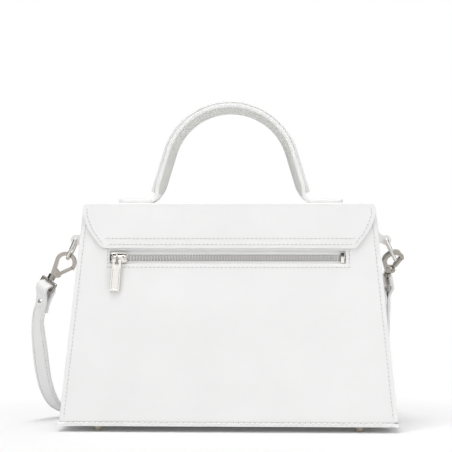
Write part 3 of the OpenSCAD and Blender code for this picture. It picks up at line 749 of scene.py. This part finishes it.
def make_cover():
    """Padded cover: a crown with sewn flat margins at both edges, swept along the arch."""
    section = []
    for y in spread(-HANDLE_W / 2, HANDLE_W / 2, 23):
        t = min(1.0, abs(y) / (HANDLE_W / 2 - MARGIN_W))
        section.append((MARGIN_T + (DOME_H - MARGIN_T) * max(0.0, 1 - t ** 2.3) ** 0.75, y))
    section += [(0.0, HANDLE_W / 2), (0.0, -HANDLE_W / 2)]
    count = len(section)
    lines = handle_line(COVER_END, ARCH_R - DOME_H)
    verts = []
    for x, z, nx, nz in lines:
        for t, y in section:
            k = t - cone_in(y, z + nz * t)
            verts.append((x + nx * k, y, z + nz * k))
    faces = tube_faces(len(lines), count)
    indices = [int(i % count in (count - 3, count - 1)) for i in range(len(faces) - 2)] + [1, 1]
    obj = mesh_object("handle_cover_leather", verts, faces, [HANDLE_LEATHER, EDGE], indices=indices)
    sharpen(obj, 50)
    bevel(obj, 0.3, 2, 55)
    settle(obj, "flap", "leather_white", "handle_cover", "handle_core")


def strap_band():
    """Inner strap's inner face: round the arch, down both legs, then out flat over the top to the tabs' ends."""
    path = handle_line(COVER_END + 6, ARCH_R - DOME_H - STRAP_T)
    x, z, nx, nz = path[-1]
    bend = BEND_R + STRAP_T
    drop = (z - TOP_FACE - bend + bend * LEG_X) / LEG_Z
    tail = [(x + LEG_X * s, z - LEG_Z * s, nx, nz) for s in spread(0, drop, 5)[1:]]
    cx, cz = tail[-1][0] + bend * LEG_Z, tail[-1][1] + bend * LEG_X
    for a in spread(0, 90 - LEG_LEAN, 10)[1:]:
        wx, wz = polar(180 + LEG_LEAN + a)
        tail.append((cx + wx * bend, cz + wz * bend, -wx, -wz))
    tail += [(x, TOP_FACE, 0.0, 1.0) for x in spread(tail[-1][0], TAB_END, 8)[1:]]
    return [(-x, z, -nx, nz) for x, z, nx, nz in tail[::-1]] + path + tail


def make_strap_band():
    half, edge = HANDLE_W / 2, 0.5
    section = [(0.0, -half + edge), (0.0, half - edge), (edge, half), (STRAP_T - edge, half), (STRAP_T, half - edge),
               (STRAP_T, -half + edge), (STRAP_T - edge, -half), (edge, -half)]
    inner, rim, outer = 2, 1, 0
    around = [inner, rim, rim, rim, outer, rim, rim, rim]
    band = strap_band()
    verts, indices = [], []
    for x, z, nx, nz in band:
        for t, y in section:
            y *= 1 - 0.28 * smoothstep(TAB_END - 3.5, TAB_END, abs(x)) ** 2
            k = t - cone_in(y, z)
            verts.append((x + nx * k, y, z + nz * k))
        # Round the arch and down the legs the inner face takes the grey material, painted shade; on the flat tabs it
        # takes the white leather.
        indices += [outer if face == inner and z < TOP_FACE + 6 else face for face in around]
    indices = indices[:-len(around)] + [rim, rim]
    obj = mesh_object("handle_strap_leather", verts, tube_faces(len(band), len(section)),
                      [LEATHER, EDGE_WHITE, HANDLE_INSIDE_SHADE], indices=indices)
    sharpen(obj, 60)
    settle(obj, "flap", "leather_white", "handle_strap")
    rows = []
    for side in (-1, 1):
        a, b, w = side * (TAB_END - 2.4), side * (TAB_END - 29), half - 2.2
        rows += legs([(x, y, TOP_FACE + STRAP_T) for x, y in ((b, -w), (a, -w), (a, w), (b, w))], UP)
    stitches("handle_tab_stitches", rows, "flap", length=2.3, r=0.26)


make_cover()
make_strap_band()


# ---- back zip
CHAIN_HALF = 2.7
TOOTH_PITCH = 2.45
TOOTH_W = 0.94
TEETH_FACE = -1.4
TOOTH_T = 2.2
TEETH_COUNT = math.floor((2 * WINDOW_HALF - 6) / TOOTH_PITCH)
TAPE_FACE = -2.25
TAPE_T = 0.7


def zip_point(x, y, z):
    """Place in the zip's frame: along the chain, up the panel, out of its face."""
    c, s = polar(math.degrees(LEAN))
    return (ZIP_X + x, -half_d(ZIP_Z) + y * s - z * c, ZIP_Z + y * c + z * s)


def make_tape(side, name, node):
    """Woven tape with its corded edge beside the teeth."""
    bead = [(2.35 + 0.75 * (1 - polar(a)[0]), -2.35 + 0.62 * polar(a)[1]) for a in spread(-60, 150, 9)]
    line = bead + [(4.1, TAPE_FACE), (12.8, TAPE_FACE), (13.0, TAPE_FACE - TAPE_T / 2), (12.8, TAPE_FACE - TAPE_T),
                   (3.0, TAPE_FACE - TAPE_T)]
    verts = []
    for x in spread(-WINDOW_HALF - 5.5, WINDOW_HALF + 5.5, 60):
        for y, z in line[::-side]:
            ripple = 0.07 * math.sin(x / 5.3 + side) * smoothstep(3, 6, y)
            verts.append(zip_point(x, side * y, z + ripple))
    # The tape takes the lighter cloth: painted light.
    obj = mesh_object(name, verts, tube_faces(60, len(line)), [TAPE])
    sharpen(obj, 60)
    settle(obj, "bag", "zip_cloth", node)


def make_teeth(side, name, node):
    """Teeth as pressed blocks with rounded shoulders, a slim neck and a crimp at the tape."""
    w = TOOTH_W / 2
    half = [(w * 1.12, CHAIN_HALF + 0.25), (w * 1.12, 1.35), (w * 0.8, 0.9), (w, 0.35), (w, -1.45), (w * 0.6, -1.85)]
    outline = [(-x, y) for x, y in half] + half[::-1]
    levels = ((TEETH_FACE - TOOTH_T, 1.0), (TEETH_FACE - 0.38, 1.0), (TEETH_FACE - 0.1, 0.9), (TEETH_FACE, 0.66))
    mid_y = 0.45
    verts, faces = [], []
    for i in range(TEETH_COUNT):
        at = (i + (0.5 if side > 0 else 0) - TEETH_COUNT / 2) * TOOTH_PITCH
        tooth = [zip_point(at + x * shrink, side * (mid_y + (y - mid_y) * (1 - (1 - shrink) * 0.35)), z)
                 for z, shrink in levels for x, y in outline]
        add_part(verts, faces, tooth, tube_faces(len(levels), len(outline), flip=side > 0))
    obj = mesh_object(name, verts, faces, [TOOTH_CAP_LIT, TOOTH_WALL_SHADE])
    # Faces that look out of the panel get the pale metal, painted light; the rest get the near-black metal, painted
    # shade.
    for face in obj.data.polygons:
        face.material_index = int(abs(face.normal.dot(BACK_OUT)) < 0.4)
    sharpen(obj, 35)
    settle(obj, "bag", "nickel", node)


make_tape(1, "zip_tape_up", "zip_tape_upper")
make_tape(-1, "zip_tape_down", "zip_tape_lower")
make_teeth(1, "zip_teeth_up", "zip_teeth_upper")
make_teeth(-1, "zip_teeth_down", "zip_teeth_lower")

SLIDER_HALF = 6.8
SLIDER_X = -WINDOW_HALF + SLIDER_HALF + 0.8
PLATE_LOW, PLATE_TOP = -1.02, 0.75
CROWN_Z = 3.75


def zip_block(name, x_range, y_range, z_range, body, rounding):
    """A block with rounded edges in the zip's frame."""
    outline = [(x_range[i], y_range[k]) for i, k in ((0, 0), (1, 0), (1, 1), (0, 1))]
    verts = [zip_point(x, y, z) for z in z_range for x, y in outline]
    obj = mesh_object(name, verts, tube_faces(2, 4), [NICKEL])
    bevel(obj, rounding, 3, 30)
    apply_modifiers(obj)
    sharpen(obj, 50)
    return settle(obj, body, "nickel")


def make_slider_body():
    """The slider's upper plate: flared shoulders, straight walls and a crowned face."""
    half = SLIDER_HALF
    edge = [(-half, 3.1), (-half + 0.8, 3.9), (-half + 3.5, 4.4), (half - 4.5, 4.4), (half - 1.2, 4.1), (half, 3.2)]
    outline = [(x, -y) for x, y in edge] + edge[::-1]
    rings = [(PLATE_LOW, 0.97), (PLATE_LOW + 0.2, 1), (-0.15, 1), (0.2, 0.97), (0.45, 0.9), (0.62, 0.76), (0.7, 0.55),
             (PLATE_TOP, 0.25)]
    verts = [zip_point(x * (1 - (1 - share) * 0.45) + SLIDER_X, y * share, z) for z, share in rings for x, y in outline]
    obj = mesh_object("slider_body", verts, tube_faces(len(rings), len(outline)), [NICKEL])
    sharpen(obj, 60)
    settle(obj, "slider", "nickel", "zip_slider")


def make_slider_crown():
    """Arched bar over the slider, wider at its right end."""
    rise = CROWN_Z + 0.45 - PLATE_TOP
    line = []
    for a in spread(178, 2, 33):
        c, s = polar(a)
        line.append(Vector((5.9 * c * (1 + 0.05 * s), PLATE_TOP - 0.3 + rise * s ** 0.62)))
    section = [(0.55 * polar(a)[0], 1.15 * polar(a)[1]) for a in range(0, 360, 30)]
    verts = []
    for i, p in enumerate(line):
        way = way_at(line, i)
        wide = 1 + 0.6 * smoothstep(3.4, 5.0, p.x + 1.5)
        verts += [zip_point(SLIDER_X + p.x - way.y * t, y * wide, p.y + way.x * t) for t, y in section]
    faces = grid_faces(len(line), len(section), closed=True, flip=True)
    settle(mesh_object("slider_crown", verts, faces, [NICKEL]), "slider", "nickel")


make_slider_body()
FLANGE_X = (SLIDER_X - SLIDER_HALF + 1.3, SLIDER_X + SLIDER_HALF - 1.3)
zip_block("slider_flange_low", FLANGE_X, (-4.25, -3.35), (-2.0, PLATE_LOW + 0.4), "slider", 0.2)
zip_block("slider_flange_high", FLANGE_X, (3.35, 4.25), (-2.0, PLATE_LOW + 0.4), "slider", 0.2)
make_slider_crown()
box_stop = zip_block("zip_box_stop", (WINDOW_HALF - 4.2, WINDOW_HALF - 0.7), (-4.5, 4.5),
                     (TEETH_FACE + 0.05, TEETH_FACE + 1.2), "bag", 0.4)
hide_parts("zip_stops")
for name, y in (("zip_top_stop_low", -3.85), ("zip_top_stop_high", 2.75)):
    zip_block(name, (-WINDOW_HALF + 0.3, -WINDOW_HALF + 1.35), (y, y + 1.1), (-2.2, TEETH_FACE + 0.3), "bag", 0.2)

PULL_LEAN = 4
PULL_ROLL = -5
LINK_X = SLIDER_X - 1.5
LINK_LOW = -4.9
PULL_TOP = LINK_LOW + 0.7 + 1.6 + 0.2
PULL_L = 25
PULL_FACE = 1.3


def pull_point(x, y, z):
    """Place in the pull tab's own frame, which rolls about the link's low end and leans off the panel."""
    c, s = polar(PULL_ROLL)
    x, y = x * c - (y - LINK_LOW) * s, LINK_LOW + x * s + (y - LINK_LOW) * c
    c, s = polar(PULL_LEAN)
    return zip_point(LINK_X + x, y * c - z * s, CROWN_Z + y * s + z * c)


def make_pull_outline():
    """Raised outline on the pull tab; the field inside it, engraved on the real bag, is left bare."""
    low, high, r = PULL_TOP - PULL_L + 1.3, PULL_TOP - 6.5, 0.16
    corners = [Vector(p) for p in ((-2.75, low), (2.75, low), (2.55, high), (-2.55, high))]
    verts, faces = [], []
    for a, b in zip(corners, corners[1:] + corners[:1]):
        way = (b - a).normalized()
        bar = []
        for p in (a, b):
            for c, s in (polar(60 * k, r) for k in range(6)):
                bar.append(pull_point(p.x - way.y * c, p.y + way.x * c, PULL_FACE + 0.7 * s))
        add_part(verts, faces, bar, grid_faces(2, 6, closed=True))
    settle(mesh_object("pull_outline", verts, faces, [NICKEL_SOFT]), "pull", "nickel")


make_pull_outline()


# ---- ring loops
RING_X = 127.5
RING_Z = 152.5
LOOP_R = 3.6
LOOP_HALF = 6.8
TAB_TOP = RING_Z + 20


def make_ring_loop(side, name, node):
    """A strip of leather sewn up the gusset that turns round the ring's bar and lies back on itself."""
    face = half_w(RING_Z) - GUSSET_IN
    top_face = half_w(TAB_TOP - 1) - GUSSET_IN
    line = [(top_face + 0.02, TAB_TOP - 1.1), (top_face + 1.0, TAB_TOP - 1.2), (top_face + 1.5, TAB_TOP - 2.0),
            (face + 0.7, RING_Z + 9), (face + 1.7, RING_Z + 5.5), (RING_X - 2.4, RING_Z + LOOP_R - 0.5)]
    turn = [polar(a, LOOP_R) for a in spread(112, -142, 24)]
    line += [(RING_X + x, RING_Z + z) for x, z in turn] + [(face + 0.02, RING_Z - 1.5)]
    rows, count = 9, len(line)
    verts = [(side * x, y, z) for y in spread(-LOOP_HALF, LOOP_HALF, rows) for x, z in line]
    faces = grid_faces(rows, count, closed=True, flip=side < 0)
    ends = [list(range(count)), [(rows - 1) * count + i for i in range(count)][::-1]]
    indices = [0] * len(faces) + [1, 1]
    obj = mesh_object(name, verts, faces + [e[::side] for e in ends], [LEATHER, EDGE_WHITE], indices=indices)
    bevel(obj, 0.45, 3, 60)
    apply_modifiers(obj)
    sharpen(obj, 60)
    settle(obj, "bag", "leather_white", node)
    c, s = polar(5)
    stitches(name + "_stitches", [
        ([(side * (top_face + 1.55), y, TAB_TOP - 2.6), (side * (face + 0.9), y, RING_Z + 9)], Vector((side * c, 0, s)))
        for y in (-LOOP_HALF + 1.7, LOOP_HALF - 1.7)
    ], "bag", length=2.2, r=0.26)


make_ring_loop(-1, "ring_loop_left", "left_ring_loop")
make_ring_loop(1, "ring_loop_right", "right_ring_loop")


# ---- shoulder strap and its folded ends
STRAP_W = 15.0
PLY = 2.4
RING_HALF = 9.4
RING_DROP = 17.5
RING_TILT = 25
ARCH_X = 4.2
WIRE_R = 1.6
WIRE_SEAT = 17.4
SWIVEL_DROP = 11.5
EYE_R = 3.0
FOLD_L = 18.0


def turned(x, y, z):
    """OpenSCAD's rotate([x, y, z])."""
    return Matrix.Rotation(deg(z), 4, "Z") @ Matrix.Rotation(deg(y), 4, "Y") @ Matrix.Rotation(deg(x), 4, "X")


def moved(x, y, z):
    return Matrix.Translation((x, y, z))


def hook_matrix(side):
    """Frame of a hook, with its barrel's top at the origin and Z up its shank."""
    bow, turn = (0, (0, 29.6, 0)) if side < 0 else (47, (43.1, -12.1, 12.6))
    out, over = polar(bow, RING_HALF)
    c, s = polar(RING_TILT, RING_DROP - RING_HALF + out)
    return moved(side * (RING_X + s), over, RING_Z - c) @ turned(*turn) @ moved(-ARCH_X, 0, -WIRE_SEAT)


def fold_matrix(side):
    """Frame of a folded strap end: origin in the eye, X across the strap, -Z along it."""
    spin, lean = (-44, 21.5) if side < 0 else (77, 0)
    return (hook_matrix(side) @ turned(0, 0, spin) @ moved(0, 0, -SWIVEL_DROP) @ turned(lean, 0, 0)
            @ moved(0, 0, WIRE_R - EYE_R))


# Route of the free strap, the CAD's own points: X, Y, Z, then the width's direction and its rise
STRAP_ROUTE = [
    (-158.4, 4.4, 95.4, -48, -21), (-160.6, 6.8, 86.6, -46, -15), (-160.8, 9.5, 76, -37, -8),
    (-160, 13, 63, -29, -3), (-159.3, 18.5, 49, -28, 0), (-158.2, 26, 35.5, -30, 0),
    (-155.8, 37, 22, -32, 0), (-151, 51, 10.5, -35, 0), (-141.5, 64.5, 4, -44, 0), (-125, 77, 1.5, -58, 0),
    (-98, 85, 1.2, -76, 0),
    (-60, 88, 1.2, -90, 0), (-10, 87, 1.2, -90, 0), (40, 87, 1.2, -88, 0), (66, 92, 1.2, -62, 0),
    (84, 108, 1.2, -32, 0), (90, 130, 1.2, 0, 0), (84, 152, 1.2, 32, 0), (66, 168, 1.2, 60, 0),
    (40, 174, 1.2, 88, 0), (0, 174, 1.2, 90, 0), (-40, 174, 1.2, 92, 0), (-64, 167, 1.2, 122, 0),
    (-78, 151, 1.2, 150, 0), (-82, 134, 1.2, 182, 0), (-75, 118, 1.2, 214, 0), (-58, 108, 1.2, 246, 0),
    (-35, 104, 1.2, 268, 0), (0, 105, 1.2, 271, 0), (36, 107, 1.2, 273, 0), (60, 108, 3, 272, 0),
    (82, 109, 4.4, 271, 0), (102, 110, 5, 270, 0), (118, 110, 9, 270, 0), (127.5, 107, 20, 271, -8),
    (131, 99, 35, 273, -20), (131.5, 88, 50.5, 275, -30), (131.4, 75, 66, 276, -38),
    (131.2, 62.5, 80.5, 278, -42), (131, 51.2, 92.4, 279, -44), (130.9, 40, 103.9, 279, -44),
]


def strap_path():
    """Smooth points along the route, each with the strap's width direction and its face's direction."""
    out = []
    last = len(STRAP_ROUTE) - 1
    for i in range(last):
        a, b, c, d = (STRAP_ROUTE[min(max(k, 0), last)] for k in (i - 1, i, i + 1, i + 2))
        count = max(3, round(math.dist(b[:3], c[:3]) / 3.2))
        for t in (k / count for k in range(count + (i == last - 1))):
            out.append([0.5 * (2 * b[j] + (c[j] - a[j]) * t + (2 * a[j] - 5 * b[j] + 4 * c[j] - d[j]) * t * t
                               + (3 * b[j] - a[j] - 3 * c[j] + d[j]) * t ** 3) for j in range(5)])
    points = [Vector(p[:3]) for p in out]
    frames = []
    for i, (here, (az, rise)) in enumerate(zip(points, (p[3:] for p in out))):
        way = way_at(points, i)
        flat, up = polar(rise)
        wide = Vector((*polar(az, flat), up))
        wide = (wide - way * wide.dot(way)).normalized()
        frames.append((here, wide, way.cross(wide)))
    return frames


def fold_frames(side):
    """Path of the folded end: up the front ply, round the eye, down the back ply to its cut end."""
    place = fold_matrix(side)
    turn = place.to_3x3()
    half = PLY / 2
    line = [(-half, -FOLD_L), (-half, -FOLD_L + 4), (-half, -FOLD_L + 8.6)]
    line += [polar(a, EYE_R + half) for a in spread(200, -20, 23)]
    line += [(half, -FOLD_L + 8.6), (half, -FOLD_L + 4), (half, -FOLD_L - 1.2)]
    dense = [(Vector(a) * (1 - t) + Vector(b) * t) for a, b in zip(line, line[1:]) for t in (0.0, 0.34, 0.67)]
    dense.append(Vector(line[-1]))
    for _ in range(6):
        dense[1:-1] = [(a + b * 2 + c) / 4 for a, b, c in zip(dense, dense[1:], dense[2:])]
    wide = (turn @ Vector((1, 0, 0))).normalized()
    frames = []
    for i, p in enumerate(dense):
        along = (turn @ Vector((0, *way_at(dense, i)))).normalized()
        frames.append((place @ Vector((0, *p)), wide, along.cross(wide)))
    return frames


def strap_section():
    """Closed section across the strap as (across, through, painted): crowned faces and rounded painted edges."""
    across, through = STRAP_W / 2, PLY / 2
    half = [(s * (across - 0.55), through - 0.1 * s * s, False) for s in spread(1, -1, 7)]
    half += [(-across + 0.12, through - 0.45, True), (-across + 0.12, -through + 0.45, True)]
    return half + [(-x, -y, painted) for x, y, painted in half]


def sweep_strap(name, frames, node):
    section = strap_section()
    count = len(section)
    verts = [p + w * x + n * y for p, w, n in frames for x, y, _ in section]
    painted = [int(a[2] or b[2]) for a, b in zip(section, section[1:] + section[:1])]
    indices = painted * (len(frames) - 1) + [1, 1]
    obj = mesh_object(name, verts, tube_faces(len(frames), count, flip=True), [LEATHER, EDGE_WHITE], indices=indices)
    sharpen(obj, 60)
    return settle(obj, "bag", "leather_white", node)


def nearest_way(points, ways):
    """Outward direction at the nearest of a row's own points."""
    return lambda at: ways[min(range(len(points)), key=lambda i: (points[i] - at).length_squared)]


FREE = strap_path()
free_strap = sweep_strap("free_strap", FREE, "shoulder_strap")
rows = []
for sign in (1, -1):
    for across in (2.3 - STRAP_W / 2, STRAP_W / 2 - 2.3):
        points = [p + w * across + n * (sign * (PLY / 2 - 0.02)) for p, w, n in FREE]
        rows.append((points, nearest_way(points, [n * sign for _, _, n in FREE])))
strap_pieces = [stitches("free_strap_stitches", rows, "bag"),
                sweep_strap("strap_fold_left", fold_frames(-1), "left_strap_end"),
                sweep_strap("strap_fold_right", fold_frames(1), "right_strap_end")]


# ---- lining and pockets
CLEAR = 0.1
LINING_BACK = 6.4
LINING_T = 0.8
LINING_LOW = node_box("lining")[0][2]
LINING_TOP = node_box("lining")[1][2]
CORNER_R = 3.0
FLOOR_SHARES = (0.9, 0.6, 0.3)


def lining_ring(z):
    """Corner-rounded loop inside the panels at a height."""
    x = half_w(z) - GUSSET_IN - PANEL_T - CLEAR - LINING_T - GUSSET_SAG * hump(z, *SAG_Z) - CORNER_R
    y0 = -half_d(z) + LINING_BACK + LINING_T + CORNER_R
    y1 = half_d(z) - PANEL_T - CLEAR - LINING_T - CORNER_R
    points = []
    for cx, cy, start in ((x, y0, 270), (x, y1, 0), (-x, y1, 90), (-x, y0, 180)):
        points += [Vector((cx, cy, z)) + Vector((*polar(start + a, CORNER_R), 0)) for a in spread(0, 90, 5)]
    out = []
    for a, b in zip(points, points[1:] + points[:1]):
        count = max(1, round((b - a).length / 9))
        out += [a + (b - a) * (i / count) for i in range(count)]
    return out


def make_lining():
    """Sewn sack of lining cloth with soft creases and a closed floor."""
    heights = steps([LINING_LOW, LINING_LOW + 1.5, LINING_TOP], 8)
    base = lining_ring(heights[0])
    count = len(base)
    verts = []
    for z in heights:
        ring = lining_ring(z)
        for i in range(count):
            p = ring[round(i * len(ring) / count) % len(ring)]
            crease = 0.35 * math.sin(i * 0.9) * math.sin(z / 11.0) * hump(z, 12, 40, 140, 168)
            push = (-crease if p.y > 0 else abs(crease)) * 0.6
            verts.append((p.x * (1 - abs(crease) * 0.004), p.y + push, z))
    faces = grid_faces(len(heights), count, closed=True, flip=True)
    start = len(verts)
    verts += [(p.x * share, p.y * share, LINING_LOW + LINING_T) for share in FLOOR_SHARES for p in base]
    for a, b in ((0, start), (start, start + count), (start + count, start + 2 * count)):
        faces += [(a + i, b + i, b + (i + 1) % count, a + (i + 1) % count) for i in range(count)]
    faces.append([start + 2 * count + i for i in range(count)])
    obj = mesh_object("lining_sack", verts, faces, [LINING, EDGE])
    thicken(obj, LINING_T - 0.1)
    sharpen(obj, 50)
    settle(obj, "bag", "lining_cloth", "lining")


def make_slip_pocket():
    """Open pocket sewn on the front lining, its mouth standing off a little."""
    low, high, half = 60.5, 140, 74.6
    rows, cols = 22, 41
    start = PANEL_T + CLEAR + LINING_T

    def at(x, z, out):
        return (x, half_d(z) - start - out, z)

    verts = [at(x, z, 0.5 + 1.5 * smoothstep(0, 8, half - abs(x)) * smoothstep(low, low + 12, z))
             for z in spread(low, high, rows) for x in spread(-half, half, cols)]
    obj = mesh_object("slip_pocket", verts, grid_faces(rows, cols), [LINING, EDGE])
    thicken(obj, 0.75, 0.0)
    sharpen(obj, 60)
    settle(obj, "bag", "lining_cloth", "inner_pocket")
    side = half - 1.8
    line = [at(x, z, 1.0) for x, z in ((-side, high - 1), (-side, low + 2), (side, low + 2), (side, high - 1))]
    stitches("slip_pocket_stitches", legs(line, Vector((0, -1, -math.tan(LEAN)))), "bag", "lining_cloth",
             pitch=3.0, length=2.1, r=0.22)


make_lining()
make_slip_pocket()


# ---- metal and hidden CAD nodes
def dress(name, material, width):
    """Gives a CAD node its look, and rounded edges where they leave room."""
    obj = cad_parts[name]
    obj.data.materials.clear()
    obj.data.materials.append(material)
    if width:
        modifier(obj, "WELD", merge_threshold=0.00001)
        bevel(obj, width, 3, 40)
        modifier(obj, "WEIGHTED_NORMAL", keep_sharp=False)


for name, material, width in (
        ("feet", FOOT_METAL, 0.35), ("foot_washers", NICKEL, 0.15), ("flap_magnet", NICKEL, 0.1),
        ("panel_magnet", NICKEL, 0.2), ("zip_link", NICKEL, 0), ("zip_pull", NICKEL, 0.35),
        ("strap_rivets", NICKEL, 0.15), ("base_board", BOARD, 0.3), ("zip_pocket", LINING, 0.2)):
    dress(name, material, width)
for side in ("left_", "right_"):
    dress(side + "ring", NICKEL, 0)
    for part, width in (("hook", 0.55), ("gate", 0.45), ("gate_pin", 0.3), ("swivel", 0)):
        dress(side + part, HOOK_METAL, width)


# ---- floor, backdrop and light
def new_tree(block):
    block.use_nodes = True
    block.node_tree.nodes.clear()
    return block.node_tree


def light_path_mix(tree, seen, plain):
    """Uses one shader where the camera, gloss or glass looks, and another for everything else."""
    rays = add_node(tree, "ShaderNodeLightPath").outputs
    looks = rays["Is Camera Ray"]
    for kind in ("Is Glossy Ray", "Is Transmission Ray"):
        looks = add_node(tree, "ShaderNodeMath", {0: looks, 1: rays[kind]}, operation="MAXIMUM").outputs[0]
    return add_node(tree, "ShaderNodeMixShader", {0: looks, 1: plain, 2: seen}).outputs[0]


def make_world():
    world = bpy.data.worlds.new("studio")
    bpy.context.scene.world = world
    tree = new_tree(world)
    white, soft = (add_node(tree, "ShaderNodeBackground", {"Color": (1, 1, 1, 1), "Strength": strength}).outputs[0]
                   for strength in (1, WORLD_LIGHT))
    add_node(tree, "ShaderNodeOutputWorld", {"Surface": light_path_mix(tree, white, soft)})


def stage_piece(name, verts, faces, material):
    mesh = bpy.data.meshes.new(name)
    mesh.from_pydata(verts, [], faces)
    mesh.materials.append(material)
    piece = add_object(name, mesh)
    return piece


def make_floor():
    """White floor: its diffuse light keeps the bag's shadow, and the rest is plain white."""
    mat = bpy.data.materials.new("floor")
    tree = new_tree(mat)
    diffuse = add_node(tree, "ShaderNodeBsdfDiffuse", {"Color": (0.82, 0.82, 0.82, 1)}).outputs[0]
    glow = add_node(tree, "ShaderNodeEmission", {"Strength": FLOOR_GLOW}).outputs[0]
    near = add_node(tree, "ShaderNodeAddShader", {0: diffuse, 1: glow}).outputs[0]
    white = add_node(tree, "ShaderNodeEmission").outputs[0]
    coord = add_node(tree, "ShaderNodeTexCoord").outputs["Object"]
    away = add_node(tree, "ShaderNodeVectorMath", {0: coord}, operation="LENGTH").outputs["Value"]
    share = add_node(tree, "ShaderNodeMapRange", {"Value": away, "From Min": FLOOR_FADE[0], "From Max": FLOOR_FADE[1]},
                     interpolation_type="SMOOTHSTEP").outputs["Result"]
    seen = add_node(tree, "ShaderNodeMixShader", {0: share, 1: near, 2: white}).outputs[0]
    add_node(tree, "ShaderNodeOutputMaterial", {"Surface": light_path_mix(tree, seen, diffuse)})
    corners = [(x * FLOOR_HALF, y * FLOOR_HALF, 0) for x, y in ((-1, -1), (1, -1), (1, 1), (-1, 1))]
    stage_piece("floor", corners, [(0, 1, 2, 3)], mat).location.z = -0.0003


def make_wall(name, low, high, from_az, to_az, glow):
    """A band of wall far round the bag, seen only in gloss, so that polished metal has contrast."""
    n = Nodes(name, (0.02, 0.02, 0.02), 1.0)
    n.set({"Emission Color": (1, 1, 1, 1), "Emission Strength": glow})
    verts = [(*polar(a, WALL_R), z) for z in (low, high) for a in spread(from_az, to_az, WALL_COLS)]
    wall = stage_piece(name, verts, grid_faces(2, WALL_COLS, flip=True), n.mat)
    for ray in ("camera", "diffuse", "shadow", "transmission"):
        setattr(wall, "visible_" + ray, False)


def area_light(name, place, aim_z, size, power):
    data = bpy.data.lights.new(name, "AREA")
    data.shape = "SQUARE"
    data.size = size
    data.energy = power
    lamp = add_object(name, data)
    lamp.location = place
    lamp.rotation_euler = (Vector((0, 0, aim_z)) - Vector(place)).to_track_quat("-Z", "Y").to_euler()


FLOOR_HALF = 6.0
FLOOR_GLOW = 0.08
FLOOR_FADE = (0.16, 0.34)
WORLD_LIGHT = 0.57
WALL_R = 2.4
WALL_COLS = 49
make_world()
make_floor()
make_wall("bright_wall", 0.01, 0.8, -114, -71, 1.15)
make_wall("dark_wall_low", 0.01, 0.5, -71, 246, 0.0)
make_wall("dark_wall_high", 0.8, 1.5, -180, 180, 0.0)
area_light("key", (-0.9, -1.3, 1.5), 0.12, 1.1, 8)
area_light("fill", (1.3, -1.0, 0.8), 0.12, 0.9, 4.6)
area_light("top", (-0.1, -0.35, 1.8), 0.1, 0.7, 11)
area_light("behind", (0.6, 1.5, 0.9), 0.12, 1.0, 5)

scene = bpy.context.scene
scene.view_settings.view_transform = "Standard"
